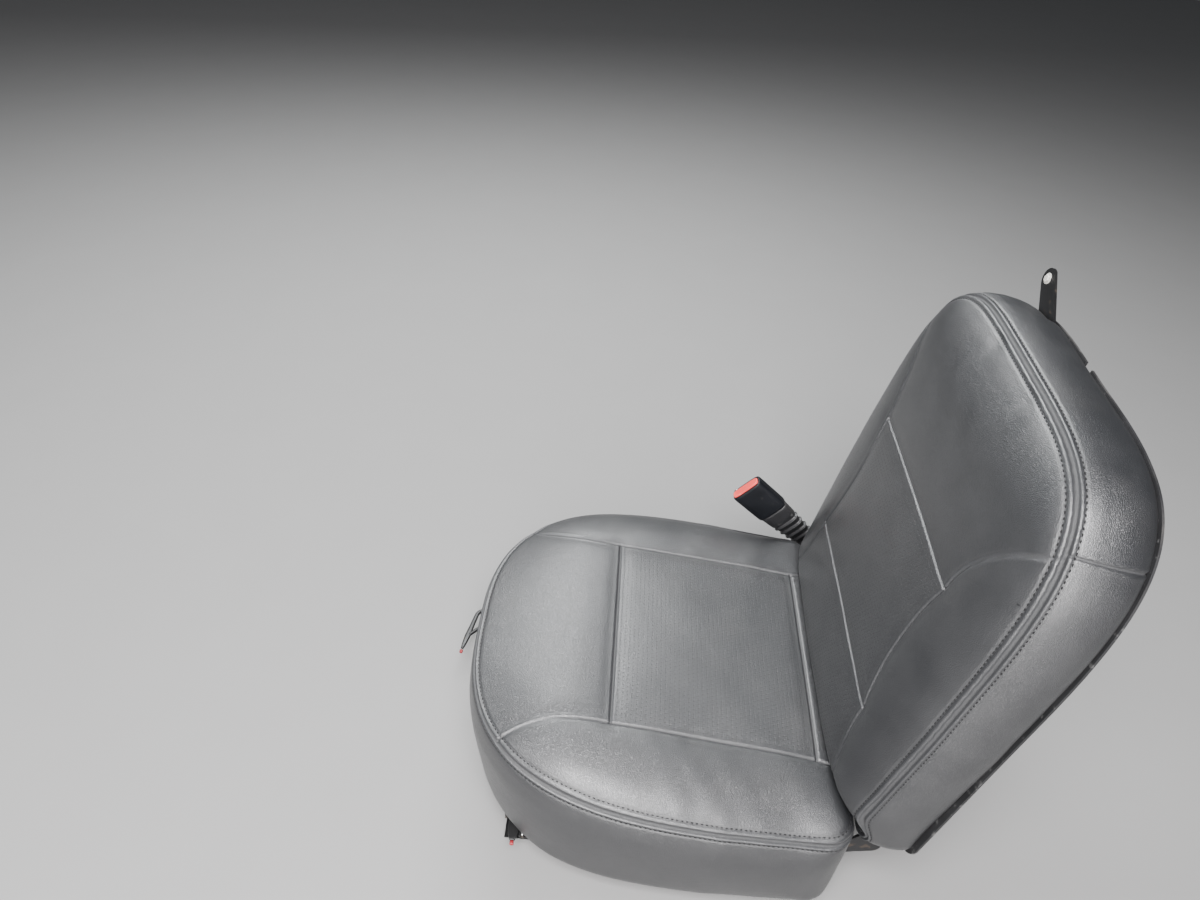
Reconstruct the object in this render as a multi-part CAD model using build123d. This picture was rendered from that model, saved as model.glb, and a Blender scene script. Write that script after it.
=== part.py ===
"""Passenger seat of a small cab-over truck, in millimetres.

+X points to the door side, -X to the middle of the cab, -Y to the front and
+Z up. The origin is the centre of the four floor bolts, on the floor.
"""
import math
import os

from build123d import *

# Floor fixing
FLOOR_BOLT_SPACING_X = 300.0
FLOOR_BOLT_SPACING_Y = 340.0
FLOOR_HOLE_R = 4.5
SHEET = 3.0
CLEAR = 0.3

# Base: two top-hat floor rails, a front bar with hinge ears, a rear bar with rubber rests
RAIL_HEIGHT = 24.0
RAIL_CROWN_WIDTH = 26.0
RAIL_FLANGE_WIDTH = 12.0
RAIL_SHEET = 2.0
FOOT_LENGTH = 52.0
BAR_WIDTH = 42.0
BAR_LIP = 14.0
FRONT_BAR_Y = -176.0
REAR_BAR_Y = 150.0
REST_FOOT_R = 15.0
REST_TOP_R = 11.0

# Hinge at the front, about which the whole seat tips
HINGE_Y = -205.0
HINGE_Z = 60.0
HINGE_X = 84.0
HINGE_PIN_R = 5.0
HINGE_RUNNING_FIT = 0.06
HINGE_EAR_R = 13.0
HINGE_EAR_GAP = 0.5
HINGE_EAR_BACK = 19.0
HINGE_EAR_FRONT = 9.0
HINGE_BOLT_HEX_R = 8.5
HINGE_BOLT_HEAD = 5.0
HINGE_NUT = 5.5
HINGE_NUT_GAP = 6.0

# Tubular cushion frame
TUBE_R = 11.0
TUBE_WALL = 1.6
FRAME_HALF_WIDTH = 180.0
FRAME_FRONT_HALF_WIDTH = 128.0
FRAME_TAPER_Y = -20.0
FRAME_FRONT_Y = -200.0
FRAME_REAR_Y = 150.0
FRAME_Z = 90.0
FRAME_CORNER_R = 55.0
SPRING_WIRE_R = 1.8
SPRING_COUNT = 5
SPRING_PITCH = 43.0
SPRING_WAVE = 15.0
SPRING_WAVES = 7
SPRING_BEND_R = 7.0

# Side plates that join the hoop to the cushion frame, and their bolts
SIDE_PLATE_BOLT_R = 5.0
SIDE_PLATE_EDGE = 12.0
SIDE_PLATE_ARM_R = 11.0
SIDE_BOLT_HEAD = 5.0
SIDE_BOLT_HEX_R = 7.5
SIDE_BOLT_FRONT = 40.0
SIDE_BOLT_REAR = 12.0
SIDE_BOLT_LOW = 16.0
SIDE_BOLT_HIGH = 50.0
FITTINGS_HALF_WIDTH = FRAME_HALF_WIDTH + TUBE_R + CLEAR + SHEET + SIDE_BOLT_HEAD

# Cushion: a superellipse in front of its round line, straight sides behind it
CUSHION_HALF_WIDTH = 243.0
CUSHION_FRONT_Y = -253.0
CUSHION_ROUND_Y = 50.0
CUSHION_REAR_Y = 197.0
CUSHION_POWER = 2.8
CUSHION_CORNER_R = 34.0
CUSHION_HEM_Z = 38.0
CUSHION_HEM_SLOPE = 0.03
CUSHION_SEAM_Z = 176.0
CUSHION_SEAM_SLOPE = 0.087
CUSHION_TOP_Z = 206.0
CUSHION_TOP_SLOPE = 0.1175
CUSHION_POCKET_DEPTH = 20.0
CUSHION_POCKET_SPACE = 10.0
CUSHION_POCKET_FRONT_SPACE = 22.0

# Backrest, measured up its own leaning front plane from where that plane meets the cushion
BACK_LEAN = 10.1
BACK_FOOT_Y = 167.0
BACK_FOOT_Z = 186.0
BACK_BOTTOM_H = -40.0
BACK_ROUND_H = 171.0
BACK_TOP_H = 471.0
BACK_HALF_WIDTH = 227.0
BACK_POWER = 4.6
BACK_CORNER_R = 26.0
BACK_DEPTH = 100.0
BACK_WALL = BACK_HALF_WIDTH - FITTINGS_HALF_WIDTH - 3.0
BACK_PANEL_SHEET = 2.5
BACK_PANEL_RIM = 1.0
PANEL_NOTCH_X = -26.0
PANEL_NOTCH_WIDTH = 15.0
PANEL_NOTCH_DEPTH = 6.0
HOOP_DEPTH = 82.0
HOOP_TOP_INSET = 26.0
HOOP_BOTTOM_H = -66.0
HOOP_CORNER_R = 60.0
HOOP_SPACE = 5.3
HOOP_TOP_H = BACK_TOP_H - BACK_WALL - TUBE_R - HOOP_SPACE
MOUTH_DROP = 20.0

# Heel under the backrest's front, where the cushion's rear fits
HEEL_Y = CUSHION_REAR_Y + 4.0
HEEL_REACH = 111.0
HEEL_DROP = 14.0
HEEL_STEP = 11.0

# Strap that fixes the top of the backrest to the cab's rear wall
STRAP_FOOT_R = 16.0
STRAP_HEAD_R = 12.0
STRAP_FOOT_X = -78.0
STRAP_FOOT_H = HOOP_TOP_H
STRAP_HOLE_X = -166.0
STRAP_HOLE_H = BACK_TOP_H + 23.0
STRAP_HOLE_R = 4.5
STRAP_SPACE = 4.0

# Belt buckle on its stalk, beside the seat on the inner side
BUCKLE_X = -CUSHION_HALF_WIDTH - 23.0
BUCKLE_PIVOT_Y = 230.0
BUCKLE_PIVOT_Z = 124.0
BUCKLE_ANGLE = 39.6
BUCKLE_REACH = 178.0
BUCKLE_BODY_LENGTH = 64.0
BUCKLE_WIDTH = 50.0
BUCKLE_THICKNESS = 22.0
BUTTON_LENGTH = 9.0
BUTTON_THICKNESS = 12.0
BUTTON_SHIFT = 3.0
TONGUE_SLOT_WIDTH = 34.0
TONGUE_SLOT_GAP = 3.4
TONGUE_SLOT_SHIFT = -6.8
TONGUE_SLOT_LENGTH = 34.0
BOOT_START = 30.0
BOOT_RIBS = 6
BOOT_RIB_SHARE = 0.72
STALK_WIDTH = 26.0
STALK_SHEET = 3.0
ANCHOR_R = 5.5
ANCHOR_HEX_R = 10.0
ANCHOR_HEAD = 6.0
BRACKET_WIDTH = 30.0
BRACKET_DROP = 16.0
BRACKET_ROOT = 24.0

# Red-tipped catch levers, fixed to the front bar and reaching out under the cushion's hem
LEVER_SHEET = 3.0
OUTER_LEVER_Y = -184.0
OUTER_LEVER_END_X = 196.0
OUTER_LEVER_WIDTH = 14.0
OUTER_TAB_END_X = 191.0
LEVER_ROOT_X = 140.0
INNER_LEVER_WIRE_R = 2.5
INNER_LEVER_Z = 30.0
INNER_LEVER_X = -168.0
INNER_LEVER_Y = -284.0
INNER_LEVER_TIP_X = -84.0
INNER_LEVER_TIP_Y = -296.0
INNER_LEVER_ROOT = 48.0
INNER_LEVER_BEND_R = 8.0
INNER_EYE_WIDTH = 22.0
INNER_EYE_NEAR = 36.0
INNER_EYE_FAR = 54.0
LEVER_TIP_LENGTH = 10.0
LEVER_TIP_SLEEVE = 2.0

BACK_PLANE = Plane(
    origin=(0, BACK_FOOT_Y, BACK_FOOT_Z),
    x_dir=(1, 0, 0),
    z_dir=(0, -math.cos(math.radians(BACK_LEAN)), math.sin(math.radians(BACK_LEAN))),
)
PARTS = {}


def on_back(x, h, depth):
    """A point given by its place up and behind the backrest's front plane."""
    return BACK_PLANE.from_local_coords(Vector(x, h, -depth))


def tube(path, radius, wall=None):
    """A round tube, or a rod where no wall is given, along a path."""
    start = Plane(origin=path @ 0, z_dir=path % 0)
    section = Circle(radius)
    if wall is not None:
        section -= Circle(radius - wall)
    return sweep(start * section, path=path)


def cylinder_along(axis, centre, radius, length):
    """A cylinder about a row axis, centred on a point."""
    turn = {"X": Rotation(0, 90, 0), "Y": Rotation(90, 0, 0), "Z": Rotation(0, 0, 0)}[axis]
    return Pos(*centre) * turn * Cylinder(radius, length)


def plate_yz(outline, x_low, thickness):
    """A flat plate in the side plane, from an outline drawn in distance along the seat and height."""
    return extrude(Plane.YZ.offset(x_low) * outline, thickness)


def disc_hull(discs):
    """The outline of a taut band round discs, each given by its centre and radius."""
    edges = []
    for x, y, radius in discs:
        edges += (Pos(x, y) * Circle(radius)).edges()
    return make_hull(edges)


def rounded_plan(half, reach, tail, power, corner_r):
    """A face with a superellipse end above its X axis and a square end below it."""
    steps = 12
    points = []
    for n in range(steps + 1):
        turn = math.pi * n / steps
        across = math.copysign(abs(math.cos(turn)) ** (2 / power), math.cos(turn))
        points.append((half * across, reach * abs(math.sin(turn)) ** (2 / power)))
    points[-1] = (-half, 0)
    round_end = Spline(*points, tangents=[(0, 1), (0, -1)])
    square_end = FilletPolyline((-half, 0), (-half, -tail), (half, -tail), (half, 0), radius=corner_r)
    return make_face(round_end.edges() + square_end.edges())


def cushion_section(z, slope, side, front, rear, corner_r):
    """The cushion's section on a plane that climbs to the front, inset from the full outline."""
    place = Plane(
        origin=(0, CUSHION_ROUND_Y, z - slope * CUSHION_ROUND_Y), x_dir=(-1, 0, 0), z_dir=(0, slope, 1),
    )
    reach = CUSHION_ROUND_Y - CUSHION_FRONT_Y - front
    tail = CUSHION_REAR_Y - CUSHION_ROUND_Y - rear
    return place * rounded_plan(CUSHION_HALF_WIDTH - side, reach, tail, CUSHION_POWER, corner_r)


def make_cushion():
    """The cushion: boxing with its seam, a rounded shoulder and a crowned top, hollow below."""
    # share of the height from hem to seam, insets at side, front and rear, rear corner radius
    boxing_rows = [
        (0.00, 2, 10, 2, 32),
        (0.10, -1, 6, 1, 34),
        (0.40, -5, -1, 0, 35),
        (0.72, -7, -5, 0, 36),
        (0.93, -4, -3, 0, 35),
        (1.00, 1, 1, 1, CUSHION_CORNER_R),
    ]
    # share of the height from seam to top, and the same insets and radius
    top_rows = [
        (0.17, 2, 12, 1, 34),
        (0.32, 6, 29, 3, 33),
        (0.52, 14, 50, 7, 32),
        (0.74, 28, 80, 15, 30),
        (0.92, 50, 103, 30, 26),
        (1.00, 84, 150, 48, 20),
        (1.07, 150, 200, 100, 16),
    ]
    sections = []
    for share, side, front, rear, corner_r in boxing_rows:
        z = CUSHION_HEM_Z + share * (CUSHION_SEAM_Z - CUSHION_HEM_Z)
        slope = CUSHION_HEM_SLOPE + share * (CUSHION_SEAM_SLOPE - CUSHION_HEM_SLOPE)
        sections.append(cushion_section(z, slope, side, front, rear, corner_r))
    for share, side, front, rear, corner_r in top_rows:
        z = CUSHION_SEAM_Z + share * (CUSHION_TOP_Z - CUSHION_SEAM_Z)
        slope = CUSHION_SEAM_SLOPE + share * (CUSHION_TOP_SLOPE - CUSHION_SEAM_SLOPE)
        sections.append(cushion_section(z, slope, side, front, rear, corner_r))
    pad = loft(sections, ruled=True)
    pocket_floor = CUSHION_HEM_Z - CUSHION_POCKET_DEPTH
    side = CUSHION_HALF_WIDTH - FITTINGS_HALF_WIDTH - CUSHION_POCKET_SPACE
    front = FRAME_FRONT_Y - TUBE_R - CUSHION_POCKET_FRONT_SPACE - CUSHION_FRONT_Y
    pocket = cushion_section(pocket_floor, 0, side, front, -side, 1)
    return pad - extrude(pocket, FRAME_Z + TUBE_R + CLEAR - pocket_floor, dir=(0, 0, 1))


def back_section(depth, inset, corner_r):
    """The backrest's section behind its front plane, inset from the full outline."""
    half = BACK_HALF_WIDTH - inset
    reach = BACK_TOP_H - BACK_ROUND_H - inset
    tail = BACK_ROUND_H - BACK_BOTTOM_H - max(inset, 0) / 4
    plan = Pos(0, BACK_ROUND_H) * rounded_plan(half, reach, tail, BACK_POWER, corner_r)
    return BACK_PLANE.offset(-depth) * plan


def strap_outline(space):
    """The strap's outline on the backrest's plane, widened all round by a space."""
    foot = (STRAP_FOOT_X, STRAP_FOOT_H, STRAP_FOOT_R + space)
    head = (STRAP_HOLE_X, STRAP_HOLE_H, STRAP_HEAD_R + space)
    return disc_hull([foot, head])


def make_backrest():
    """The backrest pad: crowned front, seam round its edge, deep boxing, recess in the rear."""
    # depth behind the front plane, inset from the full outline, bottom corner radius
    rows = [
        (-6, 150, 20),
        (-2, 84, 22),
        (1, 59, 22),
        (4.4, 38, 24),
        (9.5, 21, 24),
        (14.9, 10, 25),
        (19, 4, 26),
        (25, 1, BACK_CORNER_R),
        (31, -3, 27),
        (42, -7, 28),
        (60, -9, 29),
        (88, -6, 28),
        (BACK_DEPTH, 4, BACK_CORNER_R),
    ]
    pad = loft([back_section(depth, inset, corner_r) for depth, inset, corner_r in rows], ruled=True)
    rear = BACK_DEPTH + 1
    recess_start = HOOP_DEPTH - TUBE_R - HOOP_SPACE
    recess = extrude(back_section(rear, BACK_WALL, 8), rear - recess_start)
    mouth = Rectangle(2 * (BACK_HALF_WIDTH - BACK_WALL), BACK_ROUND_H, align=(Align.CENTER, Align.MIN))
    mouth = Pos(0, BACK_BOTTOM_H - MOUTH_DROP) * mouth
    mouth = extrude(BACK_PLANE.offset(-rear) * mouth, rear - recess_start)
    slot_start = HOOP_DEPTH + TUBE_R - CLEAR
    slot = extrude(BACK_PLANE.offset(-rear) * strap_outline(STRAP_SPACE), rear - slot_start)
    # distance along the seat, height
    heel_points = [
        (HEEL_Y - HEEL_REACH, CUSHION_HEM_Z),
        (HEEL_Y, CUSHION_HEM_Z),
        (HEEL_Y, CUSHION_SEAM_Z - HEEL_DROP),
        (HEEL_Y - HEEL_STEP, CUSHION_SEAM_Z - 2),
        (BACK_FOOT_Y + 3, BACK_FOOT_Z + 1),
        (HEEL_Y - HEEL_REACH, BACK_FOOT_Z + HEEL_STEP),
    ]
    half = CUSHION_HALF_WIDTH + BACK_HALF_WIDTH
    heel = plate_yz(Polygon(*heel_points, align=None), -half, 2 * half)
    return pad - recess - mouth - slot - heel


def make_back_panel():
    """The thin board that closes the rear of the backrest, with a notch in its upper edge."""
    start = BACK_DEPTH + CLEAR + BACK_PANEL_SHEET
    outline = back_section(start, -BACK_PANEL_RIM, BACK_CORNER_R)
    notch = Pos(PANEL_NOTCH_X, BACK_TOP_H) * Rectangle(PANEL_NOTCH_WIDTH, 2 * PANEL_NOTCH_DEPTH)
    panel = extrude(outline, BACK_PANEL_SHEET, dir=BACK_PLANE.z_dir)
    return panel - extrude(BACK_PLANE.offset(-start - 1) * notch, BACK_PANEL_SHEET + 2)


def make_hoop():
    """The backrest's tube, bent to an upside-down U."""
    side = FRAME_HALF_WIDTH
    corners = [
        on_back(-side, HOOP_BOTTOM_H, HOOP_DEPTH),
        on_back(-side + HOOP_TOP_INSET, HOOP_TOP_H, HOOP_DEPTH),
        on_back(side - HOOP_TOP_INSET, HOOP_TOP_H, HOOP_DEPTH),
        on_back(side, HOOP_BOTTOM_H, HOOP_DEPTH),
    ]
    return tube(FilletPolyline(*corners, radius=HOOP_CORNER_R), TUBE_R, TUBE_WALL)


def make_cushion_frame():
    """The cushion's tube, bent to a U that is open at the rear."""
    # half width, distance from the origin along the seat
    stations = [
        (FRAME_HALF_WIDTH, FRAME_REAR_Y),
        (FRAME_HALF_WIDTH, FRAME_TAPER_Y),
        (FRAME_FRONT_HALF_WIDTH, FRAME_FRONT_Y),
    ]
    corners = [(-half, y, FRAME_Z) for half, y in stations]
    corners += [(half, y, FRAME_Z) for half, y in reversed(stations)]
    return tube(FilletPolyline(*corners, radius=FRAME_CORNER_R), TUBE_R, TUBE_WALL)


def make_rear_tube():
    """The straight tube across the rear of the cushion frame."""
    half = FRAME_HALF_WIDTH - TUBE_R - CLEAR
    path = Line((-half, FRAME_REAR_Y - TUBE_R, FRAME_Z), (half, FRAME_REAR_Y - TUBE_R, FRAME_Z))
    return tube(path, TUBE_R, TUBE_WALL)


def make_springs():
    """Zigzag wires from the front tube to the rear tube, one beside another."""
    start_y = FRAME_FRONT_Y + TUBE_R + SPRING_WIRE_R + CLEAR
    end_y = FRAME_REAR_Y - 2 * TUBE_R - SPRING_WIRE_R - CLEAR
    step = (end_y - start_y) / SPRING_WAVES
    solids = []
    for n in range(SPRING_COUNT):
        x = (n - (SPRING_COUNT - 1) / 2) * SPRING_PITCH
        points = [(x, start_y, FRAME_Z)]
        for w in range(SPRING_WAVES):
            side = SPRING_WAVE if w % 2 == 0 else -SPRING_WAVE
            y = start_y + w * step
            points += [(x + side, y + 0.2 * step, FRAME_Z), (x + side, y + 0.8 * step, FRAME_Z)]
        points.append((x, end_y, FRAME_Z))
        solids.append(tube(FilletPolyline(*points, radius=SPRING_BEND_R), SPRING_WIRE_R))
    return Compound(children=solids)


def side_bolt_places():
    """Where the four bolts of a side plate sit, on the tubes' axes."""
    low = on_back(0, HOOP_BOTTOM_H + SIDE_BOLT_LOW, HOOP_DEPTH)
    high = on_back(0, HOOP_BOTTOM_H + SIDE_BOLT_HIGH, HOOP_DEPTH)
    front, rear = FRAME_REAR_Y - SIDE_BOLT_FRONT, FRAME_REAR_Y - SIDE_BOLT_REAR
    return [(front, FRAME_Z), (rear, FRAME_Z), (low.Y, low.Z), (high.Y, high.Z)]


SIDE_BOLTS = side_bolt_places()


def make_side_plate(side):
    """A pressed plate that bolts the hoop's leg to the cushion frame's side tube."""
    inner = FRAME_HALF_WIDTH + TUBE_R + CLEAR
    x_low = inner if side > 0 else -inner - SHEET
    front = (*SIDE_BOLTS[0], SIDE_PLATE_ARM_R)
    knee = (CUSHION_REAR_Y + SIDE_PLATE_ARM_R, FRAME_Z, SIDE_PLATE_ARM_R)
    heel = (BUCKLE_PIVOT_Y + 4, BUCKLE_PIVOT_Z - BRACKET_DROP - SIDE_PLATE_EDGE + 2, SIDE_PLATE_EDGE)
    low = (*SIDE_BOLTS[2], SIDE_PLATE_EDGE)
    high = (*SIDE_BOLTS[3], SIDE_PLATE_EDGE)
    outline = disc_hull([front, knee]) + disc_hull([knee, heel, low]) + disc_hull([low, high])
    plate = plate_yz(outline, x_low, SHEET)
    for y, z in SIDE_BOLTS:
        plate -= cylinder_along("X", (side * inner, y, z), SIDE_PLATE_BOLT_R + CLEAR, 4 * SHEET)
    return plate


def hex_head(x_face, way, y, z, radius, height):
    """A hex head or nut that stands off a side face, to +X or -X."""
    head = extrude(Plane.YZ * RegularPolygon(radius, 6), height)
    shift = x_face if way > 0 else x_face - height
    return Pos(shift, y, z) * head


def make_side_bolts():
    """Hex heads on the outside of the side plates."""
    face = FRAME_HALF_WIDTH + TUBE_R + CLEAR + SHEET
    solids = []
    for side in (-1, 1):
        for y, z in SIDE_BOLTS:
            solids.append(hex_head(side * face, side, y, z, SIDE_BOLT_HEX_R, SIDE_BOLT_HEAD))
    return Compound(children=solids)


def make_rail(side):
    """A top-hat floor rail with a flat foot at each end, each with a bolt hole."""
    x = side * FLOOR_BOLT_SPACING_X / 2
    crown = RAIL_CROWN_WIDTH / 2
    flange = crown + RAIL_FLANGE_WIDTH
    outer = [
        (-flange, 0), (-crown, 0), (-crown, RAIL_HEIGHT - RAIL_SHEET), (crown, RAIL_HEIGHT - RAIL_SHEET),
        (crown, 0), (flange, 0), (flange, RAIL_SHEET), (crown + RAIL_SHEET, RAIL_SHEET),
        (crown + RAIL_SHEET, RAIL_HEIGHT), (-crown - RAIL_SHEET, RAIL_HEIGHT),
        (-crown - RAIL_SHEET, RAIL_SHEET), (-flange, RAIL_SHEET),
    ]
    half = FLOOR_BOLT_SPACING_Y / 2
    length = 2 * half - FOOT_LENGTH + 12
    profile = Plane.XZ * Polygon(*outer, align=None)
    rail = Pos(0, length / 2, 0) * extrude(profile, length)
    for end in (-1, 1):
        foot = Rectangle(2 * flange, FOOT_LENGTH)
        foot = extrude(foot, RAIL_SHEET)
        foot -= Cylinder(FLOOR_HOLE_R, 20)
        rail += Pos(0, end * half, 0) * foot
    return Pos(x, 0, 0) * rail


def make_bar(y, height):
    """A channel bar across the two rails, open below."""
    length = FLOOR_BOLT_SPACING_X + RAIL_CROWN_WIDTH
    half = BAR_WIDTH / 2
    outline = Plane.YZ * Polygon(
        (-half, 0), (-half + SHEET, 0), (-half + SHEET, height - SHEET), (half - SHEET, height - SHEET),
        (half - SHEET, 0), (half, 0), (half, height), (-half, height), align=None,
    )
    return Pos(-length / 2, y, RAIL_HEIGHT) * extrude(outline, length)


def make_front_bar():
    """The front bar with the two ears that carry the hinge pins."""
    bar = make_bar(FRONT_BAR_Y, BAR_LIP)
    base_z = RAIL_HEIGHT + BAR_LIP
    for side in (-1, 1):
        x_low = side * HINGE_X - (SHEET if side > 0 else 0)
        body = Plane.YZ.offset(x_low) * Polygon(
            (FRONT_BAR_Y - BAR_WIDTH / 2, base_z - 1), (FRONT_BAR_Y + BAR_WIDTH / 2, base_z - 1),
            (HINGE_Y + HINGE_EAR_R * 0.8, HINGE_Z + HINGE_EAR_R * 0.6),
            (HINGE_Y - HINGE_EAR_R * 0.8, HINGE_Z - HINGE_EAR_R * 0.6), align=None,
        )
        ear = extrude(body, SHEET)
        ear += cylinder_along("X", (x_low + SHEET / 2, HINGE_Y, HINGE_Z), HINGE_EAR_R, SHEET)
        ear -= cylinder_along("X", (x_low + SHEET / 2, HINGE_Y, HINGE_Z), HINGE_PIN_R, 3 * SHEET)
        bar += ear
    return bar


def make_hinge_pins():
    """Two shoulder bolts that the seat's hinge ears turn on."""
    inner = HINGE_X - SHEET - HINGE_NUT_GAP
    length = 2 * SHEET + HINGE_EAR_GAP + HINGE_NUT_GAP + 1
    solids = []
    for side in (-1, 1):
        pin = cylinder_along("X", (side * (inner + length / 2), HINGE_Y, HINGE_Z), HINGE_PIN_R, length)
        pin += hex_head(side * (inner + length), side, HINGE_Y, HINGE_Z, HINGE_BOLT_HEX_R, HINGE_BOLT_HEAD)
        pin += hex_head(side * inner, -side, HINGE_Y, HINGE_Z, HINGE_BOLT_HEX_R, HINGE_NUT)
        solids.append(pin)
    return Compound(children=solids)


def make_hinge_ears():
    """Plates below the front tube that hang on the hinge pins."""
    solids = []
    for side in (-1, 1):
        near = HINGE_X + HINGE_EAR_GAP
        x_low = near if side > 0 else -near - SHEET
        top = FRAME_Z - TUBE_R * 0.2
        body = Plane.YZ.offset(x_low) * Polygon(
            (HINGE_Y - HINGE_EAR_R, HINGE_Z), (HINGE_Y + HINGE_EAR_R, HINGE_Z),
            (HINGE_Y + HINGE_EAR_BACK, top), (HINGE_Y - HINGE_EAR_FRONT, top), align=None,
        )
        ear = extrude(body, SHEET)
        ear += cylinder_along("X", (x_low + SHEET / 2, HINGE_Y, HINGE_Z), HINGE_EAR_R, SHEET)
        bore = HINGE_PIN_R + HINGE_RUNNING_FIT
        ear -= cylinder_along("X", (x_low + SHEET / 2, HINGE_Y, HINGE_Z), bore, 3 * SHEET)
        ear -= cylinder_along("X", (x_low, FRAME_FRONT_Y, FRAME_Z), TUBE_R + CLEAR, 20 * SHEET)
        solids.append(ear)
    return Compound(children=solids)


def make_rear_rests():
    """Rubber buffers on the rear bar, under the rear tube."""
    top = FRAME_Z - TUBE_R - CLEAR
    base = RAIL_HEIGHT + BAR_LIP
    solids = []
    for side in (-1, 1):
        rest = Cone(REST_FOOT_R, REST_TOP_R, top - base)
        solids.append(Pos(side * HINGE_X, FRAME_REAR_Y - TUBE_R, (base + top) / 2) * rest)
    return Compound(children=solids)


def make_strap():
    """The flat strap from the hoop's top up to the wall bolt, wider at its foot."""
    shape = strap_outline(0) - Pos(STRAP_HOLE_X, STRAP_HOLE_H) * Circle(STRAP_HOLE_R)
    start = HOOP_DEPTH + TUBE_R + CLEAR + SHEET
    return extrude(BACK_PLANE.offset(-start) * shape, SHEET)


def buckle_place():
    """The frame of the buckle stalk: X up the stalk, Y across it, Z along the seat's width."""
    turn = math.radians(BUCKLE_ANGLE)
    up_stalk = (0, -math.cos(turn), math.sin(turn))
    return Plane(origin=(BUCKLE_X, BUCKLE_PIVOT_Y, BUCKLE_PIVOT_Z), x_dir=up_stalk, z_dir=(1, 0, 0))


BUCKLE_PLANE = buckle_place()


def stalk_slab(start, end, width, thickness, corner_r, shift=0.0):
    """A rounded slab along the stalk, centred across it and shifted to +X."""
    shape = Pos((start + end) / 2, 0) * Rectangle(end - start, width)
    shape = fillet(shape.vertices(), corner_r)
    return extrude(BUCKLE_PLANE.offset(shift - thickness / 2) * shape, thickness)


def make_buckle_body():
    """The buckle's moulded case, with the button's recess and the belt tongue's slot."""
    mouth = BUCKLE_REACH + 1
    case = stalk_slab(BUCKLE_REACH - BUCKLE_BODY_LENGTH, BUCKLE_REACH - 2, BUCKLE_WIDTH, BUCKLE_THICKNESS, 6)
    recess = stalk_slab(
        BUCKLE_REACH - BUTTON_LENGTH, mouth, BUCKLE_WIDTH - 5, BUTTON_THICKNESS, 1, BUTTON_SHIFT,
    )
    slot = stalk_slab(
        BUCKLE_REACH - TONGUE_SLOT_LENGTH, mouth, TONGUE_SLOT_WIDTH, TONGUE_SLOT_GAP, 1, TONGUE_SLOT_SHIFT,
    )
    return case - recess - slot


def make_button():
    """The release button at the buckle's end."""
    start = BUCKLE_REACH - BUTTON_LENGTH + CLEAR
    return stalk_slab(
        start, BUCKLE_REACH, BUCKLE_WIDTH - 5 - 2 * CLEAR, BUTTON_THICKNESS - 2 * CLEAR, 2, BUTTON_SHIFT,
    )


def make_boot():
    """The ribbed boot round the stalk, tapering down from the buckle."""
    end = BUCKLE_REACH - BUCKLE_BODY_LENGTH - CLEAR
    start = BOOT_START
    rib_zone = (end - start) * BOOT_RIB_SHARE
    pitch = rib_zone / BOOT_RIBS
    boot = stalk_slab(start, end, BUCKLE_WIDTH * 0.6, BUCKLE_THICKNESS * 0.55, 4)
    boot += stalk_slab(start + rib_zone, end, BUCKLE_WIDTH * 0.88, BUCKLE_THICKNESS * 0.82, 5)
    for n in range(BOOT_RIBS):
        share = n / BOOT_RIBS
        width = BUCKLE_WIDTH * (0.68 + 0.18 * share)
        thickness = BUCKLE_THICKNESS * (0.64 + 0.13 * share)
        low = start + n * pitch
        boot += stalk_slab(low, low + 0.55 * pitch, width, thickness, 2)
    cavity = stalk_slab(start - 1, end + 1, STALK_WIDTH + 2 * CLEAR, STALK_SHEET + 2 * CLEAR, 0.2)
    return boot - cavity


def make_stalk():
    """The steel strip that carries the buckle, with an eye for the anchor bolt."""
    eye = Circle(STALK_WIDTH / 2 + 3)
    strip = Rectangle(BUCKLE_REACH - BUCKLE_BODY_LENGTH, STALK_WIDTH, align=(Align.MIN, Align.CENTER))
    shape = eye + strip
    shape -= Circle(ANCHOR_R + HINGE_RUNNING_FIT)
    return extrude(BUCKLE_PLANE.offset(-STALK_SHEET / 2) * shape, STALK_SHEET)


def make_anchor_bolt():
    """The shoulder bolt that the stalk swings on."""
    near = BUCKLE_X - STALK_SHEET / 2 - 1.0
    far = BUCKLE_X + STALK_SHEET / 2 + CLEAR + 2 * SHEET
    centre = ((near + far) / 2, BUCKLE_PIVOT_Y, BUCKLE_PIVOT_Z)
    shank = cylinder_along("X", centre, ANCHOR_R, far - near)
    return shank + hex_head(near, -1, BUCKLE_PIVOT_Y, BUCKLE_PIVOT_Z, ANCHOR_HEX_R, ANCHOR_HEAD)


def make_anchor_bracket():
    """A bent plate from the inner side plate out to the buckle's anchor bolt."""
    wall_x = -(FRAME_HALF_WIDTH + TUBE_R + SHEET + 2 * CLEAR)
    tab_x = BUCKLE_X + STALK_SHEET / 2 + CLEAR
    shelf_z = BUCKLE_PIVOT_Z - BRACKET_DROP
    shelf = Box(wall_x - tab_x, BRACKET_WIDTH, SHEET, align=(Align.MIN, Align.CENTER, Align.CENTER))
    bracket = Pos(tab_x, BUCKLE_PIVOT_Y, shelf_z) * shelf
    tab = Box(SHEET, BRACKET_WIDTH, 2 * BRACKET_DROP, align=(Align.MIN, Align.CENTER, Align.MIN))
    bracket += Pos(tab_x, BUCKLE_PIVOT_Y, shelf_z - SHEET / 2) * tab
    root = Box(SHEET, BRACKET_WIDTH, BRACKET_ROOT, align=(Align.MAX, Align.CENTER, Align.MAX))
    bracket += Pos(wall_x, BUCKLE_PIVOT_Y, shelf_z + SHEET / 2) * root
    bracket -= cylinder_along("X", (tab_x, BUCKLE_PIVOT_Y, BUCKLE_PIVOT_Z), ANCHOR_R, 4 * SHEET)
    return bracket


def lever_plate_z():
    """Height of the outer lever's underside, close under the front bar's top sheet."""
    return RAIL_HEIGHT + BAR_LIP - SHEET - CLEAR - LEVER_SHEET


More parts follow.
